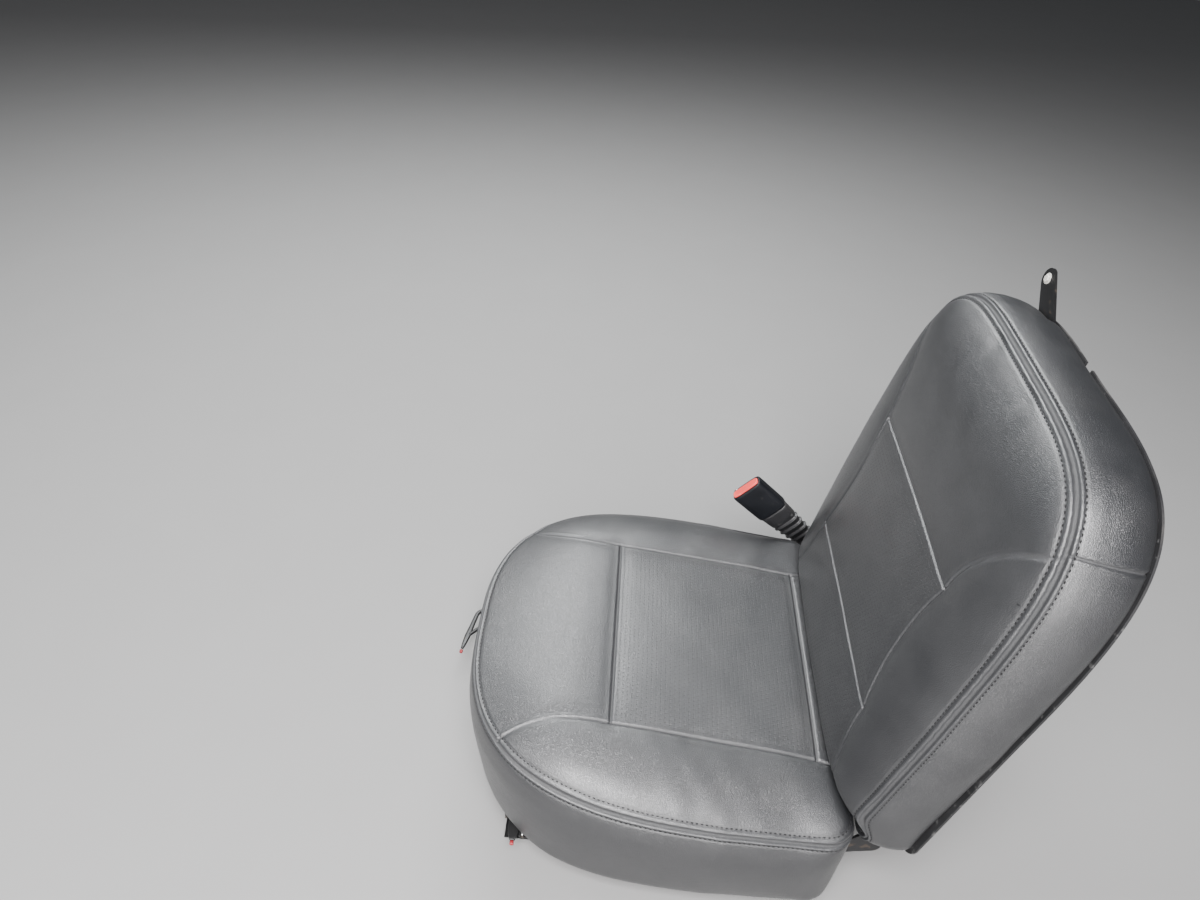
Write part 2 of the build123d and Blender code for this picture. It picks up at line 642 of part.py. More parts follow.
def make_outer_lever():
    """The flat lever from inside the front bar out to the door side, without its red tip."""
    length = OUTER_LEVER_END_X - LEVER_ROOT_X
    blade = Box(length, OUTER_LEVER_WIDTH, LEVER_SHEET, align=(Align.MIN, Align.CENTER, Align.MIN))
    blade = fillet(blade.edges().filter_by(Axis.Z), 3)
    return Pos(LEVER_ROOT_X, OUTER_LEVER_Y, lever_plate_z()) * blade


def make_outer_lever_bracket():
    """The shorter tab beside the outer lever."""
    y_low = OUTER_LEVER_Y + OUTER_LEVER_WIDTH / 2 + CLEAR
    y_high = FRONT_BAR_Y + BAR_WIDTH / 2 - SHEET - CLEAR
    length = OUTER_TAB_END_X - LEVER_ROOT_X
    tab = Box(length, y_high - y_low, LEVER_SHEET, align=(Align.MIN, Align.MIN, Align.MIN))
    return Pos(LEVER_ROOT_X, y_low, lever_plate_z()) * fillet(tab.edges().filter_by(Axis.Z), 3)


def make_outer_tip():
    """The red sleeve on the outer lever's end."""
    size = 3 * LEVER_SHEET
    tip = Box(size, size + 2, size, align=(Align.MIN, Align.CENTER, Align.CENTER))
    centre_z = lever_plate_z() + LEVER_SHEET / 2
    return Pos(OUTER_LEVER_END_X + CLEAR, OUTER_LEVER_Y, centre_z) * fillet(tip.edges(), 1.5)


def make_inner_lever():
    """The wire lever from the front bar out under the hem, with a long eye, without its red tip."""
    bar_y = FRONT_BAR_Y - BAR_WIDTH / 2 - INNER_LEVER_WIRE_R - CLEAR
    z = INNER_LEVER_Z
    tip = (INNER_LEVER_TIP_X, INNER_LEVER_TIP_Y, z)
    arm_points = [
        (INNER_LEVER_X + INNER_LEVER_ROOT, bar_y, z),
        (INNER_LEVER_X, bar_y, z),
        (INNER_LEVER_X - 4, INNER_LEVER_Y + INNER_EYE_WIDTH, z),
        (INNER_LEVER_X + INNER_EYE_WIDTH / 2, INNER_LEVER_Y, z),
        tip,
    ]
    eye_points = [
        (INNER_LEVER_X - 3, INNER_LEVER_Y + INNER_EYE_WIDTH, z),
        (INNER_LEVER_X + INNER_EYE_NEAR, INNER_LEVER_Y + INNER_EYE_WIDTH / 2, z),
        (INNER_LEVER_X + INNER_EYE_FAR, INNER_LEVER_Y - 6, z),
    ]
    arm = FilletPolyline(*arm_points, radius=INNER_LEVER_BEND_R)
    eye = FilletPolyline(*eye_points, radius=INNER_LEVER_BEND_R)
    return tube(arm, INNER_LEVER_WIRE_R) + tube(eye, INNER_LEVER_WIRE_R)


def make_inner_tip():
    """The red sleeve on the inner lever's end."""
    centre = (INNER_LEVER_TIP_X + CLEAR + LEVER_TIP_LENGTH / 2, INNER_LEVER_TIP_Y, INNER_LEVER_Z)
    return cylinder_along("X", centre, INNER_LEVER_WIRE_R + LEVER_TIP_SLEEVE, LEVER_TIP_LENGTH)


def build():
    """Every node, by name."""
    PARTS["floor_rail_outer"] = make_rail(1)
    PARTS["floor_rail_inner"] = make_rail(-1)
    PARTS["front_bar"] = make_front_bar()
    PARTS["rear_bar"] = make_bar(REAR_BAR_Y - TUBE_R, BAR_LIP)
    PARTS["rear_rests"] = make_rear_rests()
    PARTS["hinge_pins"] = make_hinge_pins()
    PARTS["hinge_ears"] = make_hinge_ears()
    PARTS["cushion_frame"] = make_cushion_frame()
    PARTS["rear_tube"] = make_rear_tube()
    PARTS["cushion_springs"] = make_springs()
    PARTS["side_plate_outer"] = make_side_plate(1)
    PARTS["side_plate_inner"] = make_side_plate(-1)
    PARTS["side_bolts"] = make_side_bolts()
    PARTS["cushion_pad"] = make_cushion()
    PARTS["backrest_hoop"] = make_hoop()
    PARTS["backrest_pad"] = make_backrest()
    PARTS["back_panel"] = make_back_panel()
    PARTS["wall_strap"] = make_strap()
    PARTS["buckle_bracket"] = make_anchor_bracket()
    PARTS["buckle_anchor_bolt"] = make_anchor_bolt()
    PARTS["buckle_stalk"] = make_stalk()
    PARTS["buckle_boot"] = make_boot()
    PARTS["buckle_body"] = make_buckle_body()
    PARTS["buckle_button"] = make_button()
    PARTS["outer_lever"] = make_outer_lever()
    PARTS["outer_lever_bracket"] = make_outer_lever_bracket()
    PARTS["outer_lever_tip"] = make_outer_tip()
    PARTS["inner_lever"] = make_inner_lever()
    PARTS["inner_lever_tip"] = make_inner_tip()


build()
os.makedirs("parts", exist_ok=True)
for node, solid in PARTS.items():
    export_step(solid, f"parts/{node}.step")
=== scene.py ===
"""Looks of a kei truck's passenger seat: vinyl cover, tube frame, buckle stalk and wall strap."""
import logging
import math
from dataclasses import dataclass, field
from enum import Enum
from functools import cached_property

import bpy
import numpy as np
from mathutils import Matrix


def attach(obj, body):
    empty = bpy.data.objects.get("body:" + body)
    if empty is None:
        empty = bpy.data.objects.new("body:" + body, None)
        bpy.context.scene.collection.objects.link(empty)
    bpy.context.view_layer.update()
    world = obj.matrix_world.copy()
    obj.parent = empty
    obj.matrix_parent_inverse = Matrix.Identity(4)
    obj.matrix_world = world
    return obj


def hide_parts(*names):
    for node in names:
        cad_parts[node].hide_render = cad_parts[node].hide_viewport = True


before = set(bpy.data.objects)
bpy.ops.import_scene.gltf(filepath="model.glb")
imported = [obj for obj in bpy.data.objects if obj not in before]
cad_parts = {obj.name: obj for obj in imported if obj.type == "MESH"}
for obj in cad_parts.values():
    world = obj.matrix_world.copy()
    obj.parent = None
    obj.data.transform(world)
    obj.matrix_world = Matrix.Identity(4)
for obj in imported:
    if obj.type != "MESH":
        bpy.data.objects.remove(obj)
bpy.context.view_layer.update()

MM = 0.001
TINY = 1e-12
SEAT = "seat"
BASE = "base"
log = logging.getLogger("seat")


def smoothstep(low: float, high: float, value: np.ndarray) -> np.ndarray:
    """Ease from 0 at low to 1 at high with flat ends: 3t squared less 2t cubed.

    Args:
        low: Where the ease starts.
        high: Where the ease ends.
        value: The values to ease.

    Returns:
        The eased values, from 0 to 1.
    """
    t = np.clip((np.asarray(value, float) - low) / (high - low), 0.0, 1.0)
    return t * t * (3.0 - 2.0 * t)


def hump(value: np.ndarray, width: float) -> np.ndarray:
    """A bell round zero: e to the power of minus half the square of value over width."""
    return np.exp(-0.5 * (np.asarray(value, float) / width) ** 2)


def unit(vectors: np.ndarray) -> np.ndarray:
    """Vectors of length 1 that point the same way."""
    return vectors / np.maximum(np.linalg.norm(vectors, axis=-1, keepdims=True), TINY)


def run_of(line: np.ndarray) -> np.ndarray:
    """Length along a line up to each of its points."""
    return np.concatenate([[0.0], np.cumsum(np.linalg.norm(np.diff(line, axis=0), axis=1))])


def read_off(places: np.ndarray, run: np.ndarray, values: np.ndarray) -> np.ndarray:
    """Columns of values at places along a run, straight between its points."""
    return np.stack([np.interp(places, run, column) for column in values.T], axis=-1)


def soft_noise(points: np.ndarray, size: float, seed: int, waves: int = 8,
               spread: tuple = (0.6, 1.6), gain: float = 1.6) -> np.ndarray:
    """Smooth noise of about -1 to 1: the mean of sine waves in seeded directions.

    Args:
        points: Places, one row each.
        size: Mean wave length, in the units of points.
        seed: Seed of the directions, lengths and phases.
        waves: How many waves there are.
        spread: Least and greatest wave length, over the mean one.
        gain: What the mean is multiplied by.

    Returns:
        One value for each point.
    """
    rng = np.random.default_rng(seed)
    ways = unit(rng.normal(size=(waves, points.shape[1])))
    rates = 2.0 * np.pi / (size * rng.uniform(*spread, waves))
    phases = rng.uniform(0.0, 2.0 * np.pi, waves)
    return np.sin(points @ (ways * rates[:, None]).T + phases).mean(axis=1) * gain


def graded(length: float, coarse: float, fine: tuple, end_share: float = 0.42) -> np.ndarray:
    """Places from 0 to 1 along a span, close together at both ends and even between.

    Args:
        length: The span's length in millimetres.
        coarse: The even step in the middle.
        fine: Distances from each end of the close places, in millimetres.
        end_share: Share of the span that the close places may reach.

    Returns:
        Rising places from 0 to 1.
    """
    near = [d for d in fine if d < end_share * length]
    start = near[-1] if near else 0.0
    count = max(1, round((length - 2.0 * start) / coarse))
    middle = np.linspace(start, length - start, count + 1)
    places = np.concatenate([[0.0], near, middle, [length - d for d in near], [length]])
    return np.unique(np.round(places, 6)) / length


class Outline:
    """A closed flat curve, kept as close points with its length and outward side."""

    COUNT = 2400  # points of the curve
    REACH = 3  # points each side that give a point's direction
    EVERY = 4  # distances are measured to each fourth point
    BATCH = 4000  # places measured at one time
    BLEND = (4.0, 14.0)  # distances between which the rounded distance takes over

    def __init__(self, points: np.ndarray) -> None:
        """Evens out the points.

        Args:
            points: Corners of the closed curve, counter-clockwise, one row each.
        """
        loop = np.vstack([points, points[:1]])
        run = run_of(loop)
        self.length = float(run[-1])
        even = np.linspace(0.0, self.length, self.COUNT, endpoint=False)
        self.points = read_off(even, run, loop)
        behind, before = (np.roll(self.points, n, axis=0) for n in (self.REACH, -self.REACH))
        ahead = unit(before - behind)
        self.sides = np.stack([ahead[:, 1], -ahead[:, 0]], axis=1)

    def nearest(self, x: float, y: float) -> float:
        """Share of the curve's length at which it comes nearest to a point."""
        away = np.hypot(self.points[:, 0] - x, self.points[:, 1] - y)
        return float(np.argmin(away)) / self.COUNT

    def at(self, share: np.ndarray, offset: float | np.ndarray = 0.0) -> np.ndarray:
        """Points at shares of the length, moved outwards by one offset or by one each."""
        place = (np.asarray(share, float) % 1.0) * self.COUNT
        low = np.floor(place).astype(int) % self.COUNT
        high = (low + 1) % self.COUNT
        part = (place - np.floor(place))[:, None]
        points = self.points[low] * (1 - part) + self.points[high] * part
        sides = self.sides[low] * (1 - part) + self.sides[high] * part
        return points + np.reshape(offset, (-1, 1)) * sides

    def distance(self, points: np.ndarray) -> np.ndarray:
        """Distance to the curve, rounded off where two sides are equally near.

        Near the curve it is the least distance. Further in it is the square root of two
        over the sum, round the curve, of the length over the cube of the distance.

        Args:
            points: Places, one row each.

        Returns:
            One distance for each point.
        """
        rim = self.points[::self.EVERY]
        step = self.length / len(rim)
        result = np.empty(len(points))
        batches = max(1, len(points) // self.BATCH)
        for part in np.array_split(np.arange(len(points)), batches):
            away = np.hypot(points[part, 0:1] - rim[:, 0], points[part, 1:2] - rim[:, 1])
            least = away.min(axis=1)
            soft = np.sqrt(2.0 / (step / np.maximum(away, 0.5 * step) ** 3).sum(axis=1))
            share = smoothstep(*self.BLEND, least)
            result[part] = least * (1 - share) + soft * share
        return result


def distance_to_line(points: np.ndarray, line: np.ndarray) -> np.ndarray:
    """Least distance from points to an open line of straight runs.

    Args:
        points: Places, one row each.
        line: The line's points, one row each.

    Returns:
        One distance for each point.
    """
    start, run = line[:-1], np.diff(line, axis=0)
    size = np.maximum((run ** 2).sum(axis=1), TINY)
    best = np.full(len(points), np.inf)
    for k in range(len(run)):
        part = np.clip(((points - start[k]) @ run[k]) / size[k], 0.0, 1.0)
        foot = start[k] + part[:, None] * run[k]
        best = np.minimum(best, np.linalg.norm(points - foot, axis=1))
    return best


def patch(low: np.ndarray, high: np.ndarray, left: np.ndarray, right: np.ndarray,
          s: np.ndarray, t: np.ndarray) -> np.ndarray:
    """A grid stretched between four curves.

    Each point is the blend of the low and high curves plus the blend of the left and
    right curves, less the blend of the four corners that both of them hold.

    Args:
        low: Curve at t of 0, a row for each s.
        high: Curve at t of 1, a row for each s.
        left: Curve at s of 0, a row for each t.
        right: Curve at s of 1, a row for each t.
        s: Places across, from 0 to 1.
        t: Places up, from 0 to 1.

    Returns:
        Points with the shape of (t, s, 2).
    """
    s, t = s[None, :, None], t[:, None, None]
    rows = (1 - t) * low[None] + t * high[None]
    columns = (1 - s) * left[:, None] + s * right[:, None]
    corners = ((1 - t) * ((1 - s) * low[0] + s * low[-1])
               + t * ((1 - s) * high[0] + s * high[-1]))
    return rows + columns - corners


def ring_quads(number: np.ndarray) -> np.ndarray:
    """Quads between neighbouring closed rings, given as rows of point numbers."""
    near, far = number[..., :-1, :], number[..., 1:, :]
    corners = [near, np.roll(near, -1, axis=-1), np.roll(far, -1, axis=-1), far]
    return np.stack(corners, axis=-1).reshape(-1, 4)


def capped_faces(rings: int, count: int, start: int = 0) -> list[list[int]]:
    """Faces of a stack of rings with a cap at each end, numbered from start."""
    number = start + np.arange(rings * count).reshape(rings, count)
    return ring_quads(number).tolist() + [number[0][::-1].tolist(), number[-1].tolist()]


def mesh_normals(points: np.ndarray, quads: np.ndarray) -> np.ndarray:
    """Unit normals of a mesh of quads: at each point the sum of its faces' normals."""
    a, b, c, d = (points[quads[:, k]] for k in range(4))
    face = np.cross(c - a, d - b)
    total = np.zeros_like(points)
    for k in range(4):
        np.add.at(total, quads[:, k], face)
    return unit(total)


def new_object(name: str, points: np.ndarray, faces: list | np.ndarray,
               smooth: bool = True) -> bpy.types.Object:
    """A mesh object at the origin.

    Args:
        name: The object's name.
        points: Places in metres, one row each.
        faces: Corner numbers of each face.
        smooth: Whether the faces are shaded smooth.

    Returns:
        The new object, linked to the scene.
    """
    mesh = bpy.data.meshes.new(name)
    corners = faces.tolist() if isinstance(faces, np.ndarray) else faces
    mesh.from_pydata(points.tolist(), [], corners)
    mesh.polygons.foreach_set("use_smooth", np.full(len(mesh.polygons), smooth))
    mesh.update()
    obj = bpy.data.objects.new(name, mesh)
    bpy.context.scene.collection.objects.link(obj)
    return obj


def set_attribute(obj: bpy.types.Object, name: str, values: np.ndarray) -> None:
    """Stores one number for each point of a mesh, for its material to read."""
    attribute = obj.data.attributes.new(name, "FLOAT", "POINT")
    attribute.data.foreach_set("value", values.astype(np.float32))


class NodeTree:
    """A shader node tree that is filled in by short calls."""

    def __init__(self, tree: bpy.types.NodeTree) -> None:
        """Wraps a material's tree or a group's tree."""
        self.tree = tree

    def add(self, kind: str, inputs: dict | None = None, **settings: object) -> bpy.types.Node:
        """Adds a node.

        Args:
            kind: The node's type, without the leading ShaderNode.
            inputs: Values or output sockets, by input name or number.
            settings: Properties of the node.

        Returns:
            The new node.
        """
        node = self.tree.nodes.new("ShaderNode" + kind)
        for name, value in settings.items():
            setattr(node, name, value)
        for name, value in (inputs or {}).items():
            self.put(node, name, value)
        return node

    def put(self, node: bpy.types.Node, name: str | int, value: object) -> None:
        """Sets an input to a plain value, or links it to an output socket."""
        if isinstance(value, bpy.types.NodeSocket):
            self.tree.links.new(value, node.inputs[name])
        else:
            node.inputs[name].default_value = value

    def math(self, operation: str, *values: object) -> bpy.types.NodeSocket:
        """Output of a Math node on up to three values."""
        return self.add("Math", dict(enumerate(values)), operation=operation).outputs[0]

    def mix(self, factor: object, low: object, high: object) -> bpy.types.NodeSocket:
        """Output of a colour mix, from low at 0 to high at 1."""
        return self.add("Mix", {0: factor, 6: low, 7: high}, data_type="RGBA").outputs[2]

    def step(self, value: object, low: float, high: float, start: float = 0.0,
             end: float = 1.0) -> bpy.types.NodeSocket:
        """Output of a clamped smooth map of value from low..high to start..end."""
        inputs = {0: value, 1: low, 2: high, 3: start, 4: end}
        return self.add("MapRange", inputs, interpolation_type="SMOOTHSTEP").outputs[0]

    def noise(self, place: object, scale: object, detail: float) -> bpy.types.Node:
        """A noise texture on a place."""
        return self.add("TexNoise", {"Vector": place, "Scale": scale, "Detail": detail})

    def object_place(self) -> bpy.types.NodeSocket:
        """Place on the piece, in the object's own coordinates."""
        return self.add("TexCoord").outputs["Object"]

    def attribute(self, name: str) -> bpy.types.NodeSocket:
        """A number that the mesh holds for each point."""
        return self.add("Attribute", attribute_name=name).outputs["Fac"]

    def group(self, effect: bpy.types.NodeTree, **inputs: object) -> object:
        """Outputs of a node group that is placed here with its own values."""
        return self.add("Group", inputs, node_tree=effect).outputs


class EffectGroup(NodeTree):
    """A shader node group whose named inputs and outputs are plain numbers."""

    NUMBER = "NodeSocketFloat"

    def __init__(self, name: str, **inputs: float) -> None:
        """Makes the group and its inputs.

        Args:
            name: The group's name.
            inputs: Default value of each input.
        """
        super().__init__(bpy.data.node_groups.new(name, "ShaderNodeTree"))
        for label, value in inputs.items():
            socket = self.tree.interface.new_socket(label, in_out="INPUT",
                                                    socket_type=self.NUMBER)
            socket.default_value = value
        self.given = self.tree.nodes.new("NodeGroupInput").outputs

    def finished(self, **outputs: bpy.types.NodeSocket) -> bpy.types.NodeTree:
        """Gives the group its outputs.

        Args:
            outputs: What each output is linked to.

        Returns:
            The group's tree.
        """
        for label in outputs:
            self.tree.interface.new_socket(label, in_out="OUTPUT", socket_type=self.NUMBER)
        end = self.tree.nodes.new("NodeGroupOutput")
        for label, value in outputs.items():
            self.tree.links.new(value, end.inputs[label])
        return self.tree


class Effects:
    """Surface effects that several finishes share, each a node group."""

    def __init__(self) -> None:
        """Builds every group once."""
        self.grain = self.make_grain()
        self.perforation = self.make_perforation()
        self.wear = self.make_wear()
        self.dust = self.make_dust()

    def make_grain(self) -> bpy.types.NodeTree:
        """Leather grain: cell edges of two sizes, with a fine and a slow unevenness."""
        nodes = EffectGroup("Grain", Scale=900.0)
        place = nodes.object_place()
        warp = nodes.noise(place, 260.0, 2.0).outputs["Color"]
        bent = nodes.add("VectorMath", {0: warp, "Scale": 0.0016}, operation="SCALE").outputs[0]
        moved = nodes.add("VectorMath", {0: place, 1: bent}, operation="ADD").outputs[0]
        cells = nodes.add("TexVoronoi", {"Vector": moved, "Scale": nodes.given["Scale"]},
                          feature="DISTANCE_TO_EDGE")
        finer = nodes.math("MULTIPLY", nodes.given["Scale"], 2.3)
        small = nodes.add("TexVoronoi", {"Vector": moved, "Scale": finer})
        pebble = nodes.step(cells.outputs["Distance"], 0.0, 0.22)
        mixed = nodes.math("MULTIPLY_ADD", small.outputs["Distance"], 0.25, pebble)
        slow = nodes.noise(place, 26.0, 3.0)
        return nodes.finished(Height=mixed, Shade=slow.outputs[0])

    def make_perforation(self) -> bpy.types.NodeTree:
        """Rows of small punched holes on the UV map, every other row moved by half a step."""
        nodes = EffectGroup("Perforation", Pitch=0.0042, Size=0.17, Area=0.0)
        place = nodes.add("SeparateXYZ", {0: nodes.add("UVMap").outputs[0]}).outputs
        across, up = (nodes.math("DIVIDE", place[n], nodes.given["Pitch"]) for n in (0, 1))
        shift = nodes.math("MULTIPLY", nodes.math("MODULO", nodes.math("FLOOR", up), 2.0), 0.5)
        x, y = (nodes.math("SUBTRACT", nodes.math("FRACT", part), 0.5)
                for part in (nodes.math("ADD", across, shift), up))
        away = nodes.math("SQRT", nodes.math("MULTIPLY_ADD", x, x, nodes.math("MULTIPLY", y, y)))
        hole = nodes.step(nodes.math("SUBTRACT", nodes.given["Size"], away), -0.05, 0.05)
        return nodes.finished(Mask=nodes.math("MULTIPLY", hole, nodes.given["Area"]))

    def make_wear(self) -> bpy.types.NodeTree:
        """Worn edges: where the surface bends sharply outwards, broken up by noise."""
        nodes = EffectGroup("Wear", Amount=0.5, Scale=120.0)
        place = nodes.object_place()
        sharp = nodes.add("NewGeometry").outputs["Pointiness"]
        noise = nodes.noise(place, nodes.given["Scale"], 5.0)
        edge = nodes.step(sharp, 0.5, 0.6, 0.0, 0.045)
        broken = nodes.math("ADD", noise.outputs[0], edge)
        eased = nodes.math("MULTIPLY", nodes.given["Amount"], 0.08)
        over = nodes.math("SUBTRACT", broken, nodes.math("SUBTRACT", 0.70, eased))
        return nodes.finished(Mask=nodes.step(over, 0.0, 0.02))

    def make_dust(self) -> bpy.types.NodeTree:
        """Pale dust on what faces up, in soft patches with a few specks."""
        nodes = EffectGroup("Dust", Amount=0.3, Scale=18.0)
        place = nodes.object_place()
        up = nodes.add("SeparateXYZ", {0: nodes.add("NewGeometry").outputs["Normal"]}).outputs[2]
        cloud = nodes.noise(place, nodes.given["Scale"], 6.0)
        specks = nodes.noise(place, 900.0, 2.0)
        patches = nodes.step(cloud.outputs[0], 0.42, 0.75)
        dots = nodes.step(specks.outputs[0], 0.66, 0.74)
        both = nodes.math("MULTIPLY_ADD", dots, 0.6, patches)
        whole = nodes.math("MULTIPLY", both, nodes.step(up, 0.1, 0.9))
        return nodes.finished(Mask=nodes.math("MULTIPLY", whole, nodes.given["Amount"]))


EFFECTS = Effects()


def new_material(name: str) -> tuple[bpy.types.Material, NodeTree, bpy.types.Node]:
    """A material with only a Principled shader in it."""
    material = bpy.data.materials.new(name)
    material.use_nodes = True
    shader = next(n for n in material.node_tree.nodes if n.type == "BSDF_PRINCIPLED")
    return material, NodeTree(material.node_tree), shader


@dataclass(frozen=True)
class Vinyl:
    """Grained black vinyl of the seat cover, punched in its centre panels."""

    name: str = "Vinyl"
    color: tuple = (0.007, 0.0074, 0.0085, 1.0)
    faded: tuple = (0.010, 0.0104, 0.0115, 1.0)
    # lip colour beside the seams: rubbed lighter, and a painted highlight
    rubbed_and_highlight: tuple = (0.085, 0.088, 0.094, 1.0)
    # colour of the punched holes: painted shade inside them
    hole: tuple = (0.004, 0.004, 0.004, 1.0)
    dust: tuple = (0.16, 0.15, 0.14, 1.0)
    dust_amount: float = 0.035
    rubbed_and_highlight_share: float = 0.18
    roughness: float = 0.375
    rubbed_roughness: float = -0.08
    deep_roughness: float = 0.38
    hole_roughness: float = 0.3
    pore_roughness: tuple = (0.10, -0.03)
    uneven_roughness: float = 0.02
    coat: float = 0.15
    coat_roughness: float = 0.36
    gloss: float = 0.85
    grain_scale: float = 620.0
    hole_pitch: float = 0.0056
    hole_size: float = 0.14
    hole_depth: float = -2.2
    bump_strength: float = 0.5
    bump_distance: float = 0.00028

    def build(self) -> bpy.types.Material:
        """The material, which reads the attributes area, line and deep of its mesh."""
        material, nodes, shader = new_material(self.name)
        grain = nodes.group(EFFECTS.grain, Scale=self.grain_scale)
        area, line, deep = (nodes.attribute(name) for name in ("area", "line", "deep"))
        holes = nodes.group(EFFECTS.perforation, Pitch=self.hole_pitch, Size=self.hole_size,
                            Area=area)["Mask"]
        dust = nodes.group(EFFECTS.dust, Amount=self.dust_amount)["Mask"]
        tone = nodes.mix(nodes.step(grain["Shade"], 0.3, 0.7), self.color, self.faded)
        # the seams' lips are painted lighter: rubbed wear and a painted highlight
        tone = nodes.mix(nodes.math("MULTIPLY", line, self.rubbed_and_highlight_share), tone, self.rubbed_and_highlight)
        tone = nodes.mix(dust, tone, self.dust)
        # the punched holes are painted darker, as the shade inside them
        nodes.put(shader, "Base Color", nodes.mix(holes, tone, self.hole))
        pore = nodes.step(grain["Height"], 0.0, 0.8, *self.pore_roughness)
        uneven = nodes.step(grain["Shade"], 0.25, 0.75, -self.uneven_roughness,
                            self.uneven_roughness)
        rough = nodes.math("ADD", nodes.math("ADD", self.roughness, pore), uneven)
        for mask, change in ((line, self.rubbed_roughness), (deep, self.deep_roughness),
                             (holes, self.hole_roughness)):
            rough = nodes.math("MULTIPLY_ADD", mask, change, rough)
        nodes.put(shader, "Roughness", rough)
        nodes.put(shader, "Coat Weight", nodes.math("MULTIPLY_ADD", deep, -self.coat, self.coat))
        height = nodes.math("MULTIPLY_ADD", holes, self.hole_depth, grain["Height"])
        bump = nodes.add("Bump", {"Strength": self.bump_strength, "Distance": self.bump_distance,
                                  "Height": height})
        nodes.put(shader, "Normal", bump.outputs[0])
        shader.inputs["Specular IOR Level"].default_value = self.gloss
        shader.inputs["Coat Roughness"].default_value = self.coat_roughness
        return material


@dataclass(frozen=True)
class Plain:
    """A moulded, painted, plated or woven finish with grain, worn edges and dust."""

    name: str
    color: tuple
    worn: tuple
    roughness: float
    metallic: float = 0.0
    worn_metallic: float = 0.0
    grain_scale: float = 1500.0
    grain_bump: float = 0.15
    bump_distance: float = 0.0002
    wear: float = 0.5
    dust: float = 0.25
    dust_color: tuple = (0.20, 0.19, 0.175, 1.0)
    dust_roughness: float = 0.35
    uneven_roughness: float = 0.07
    shade: float = 0.72
    coat: float = 0.0
    gloss: float = 0.35

    def build(self) -> bpy.types.Material:
        """The material, from the shared effects with this finish's values."""
        material, nodes, shader = new_material(self.name)
        grain = nodes.group(EFFECTS.grain, Scale=self.grain_scale)
        wear = nodes.group(EFFECTS.wear, Amount=self.wear)["Mask"]
        dust = nodes.group(EFFECTS.dust, Amount=self.dust)["Mask"]
        shaded = tuple(self.shade * c for c in self.color[:3]) + (1.0,)
        tone = nodes.mix(nodes.step(grain["Shade"], 0.3, 0.7), shaded, self.color)
        worn = nodes.mix(wear, tone, self.worn)
        nodes.put(shader, "Base Color", nodes.mix(dust, worn, self.dust_color))
        change = self.worn_metallic - self.metallic
        nodes.put(shader, "Metallic", nodes.math("MULTIPLY_ADD", wear, change, self.metallic))
        uneven = nodes.step(grain["Shade"], 0.25, 0.75, -self.uneven_roughness,
                            self.uneven_roughness)
        rough = nodes.math("ADD", self.roughness, uneven)
        nodes.put(shader, "Roughness", nodes.math("MULTIPLY_ADD", dust, self.dust_roughness, rough))
        bump = nodes.add("Bump", {"Strength": self.grain_bump, "Distance": self.bump_distance,
                                  "Height": grain["Height"]})
        nodes.put(shader, "Normal", bump.outputs[0])
        shader.inputs["Coat Weight"].default_value = self.coat
        shader.inputs["Specular IOR Level"].default_value = self.gloss
        return material


class Finish(Enum):
    """Finishes of the seat's pieces, each named for what carries it."""

    BACK_BOARD = Plain("BackBoard", (0.010, 0.010, 0.011, 1), (0.04, 0.04, 0.04, 1), 0.62,
                       grain_scale=900.0)
    FRAME_PAINT = Plain("FramePaint", (0.005, 0.005, 0.0055, 1), (0.030, 0.023, 0.018, 1), 0.36,
                        worn_metallic=0.2, dust=0.03, gloss=0.32)
    WALL_BOLT = Plain("WallBoltPaint", (0.40, 0.39, 0.36, 1), (0.20, 0.17, 0.13, 1), 0.42,
                      wear=0.6, dust=0.1)
    CHROME = Plain("BrightPin", (0.78, 0.78, 0.76, 1), (0.5, 0.48, 0.44, 1), 0.18, metallic=1.0,
                   worn_metallic=0.9, dust=0.05, grain_bump=0.04)
    ZINC = Plain("ZincPlate", (0.55, 0.52, 0.44, 1), (0.26, 0.20, 0.13, 1), 0.34, metallic=0.9,
                 worn_metallic=0.5, grain_scale=2600.0)
    SPRING = Plain("SpringWire", (0.20, 0.19, 0.17, 1), (0.20, 0.10, 0.05, 1), 0.45,
                   metallic=0.85, worn_metallic=0.3)
    RUBBER = Plain("Rubber", (0.022, 0.022, 0.022, 1), (0.05, 0.05, 0.05, 1), 0.72,
                   grain_scale=700.0)
    BOOT = Plain("BootPlastic", (0.008, 0.008, 0.009, 1), (0.03, 0.03, 0.03, 1), 0.46,
                 dust=0.10, gloss=0.45)
    CASE = Plain("BuckleCase", (0.003, 0.0035, 0.005, 1), (0.012, 0.012, 0.012, 1), 0.46,
                 grain_scale=1900.0, grain_bump=0.3, dust=0.008, gloss=0.22)
    RED = Plain("RedPlastic", (0.66, 0.060, 0.052, 1), (0.70, 0.16, 0.13, 1), 0.34,
                dust=0.04, gloss=0.5)
    TIP = Plain("LeverTip", (0.24, 0.014, 0.02, 1), (0.28, 0.03, 0.03, 1), 0.45, dust=0.02)
    THREAD = Plain("Thread", (0.004, 0.004, 0.0045, 1), (0.01, 0.01, 0.01, 1), 0.72,
                   grain_scale=3000.0, dust=0.02, gloss=0.2)
    UNDERSIDE = Plain("UndersideFelt", (0.030, 0.029, 0.028, 1), (0.05, 0.05, 0.05, 1), 0.92,
                      grain_scale=500.0, grain_bump=0.8)
    VINYL = Vinyl()


MATERIALS = {finish: finish.value.build() for finish in Finish}


def equip(obj: bpy.types.Object, finish: Finish, body: str, replaced: str = "",
          inner: Finish | None = None) -> bpy.types.Object:
    """Gives a new piece its finish and the body that it rides on.

    Args:
        obj: The piece.
        finish: Its finish.
        body: The body that it rides on.
        replaced: The CAD node that it takes the place of, if any.
        inner: Finish of its inside, where that has one of its own.

    Returns:
        The same piece.
    """
    obj.data.materials.append(MATERIALS[finish])
    if inner:
        obj.data.materials.append(MATERIALS[inner])
    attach(obj, body)
    if replaced:
        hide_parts(replaced)
    return obj


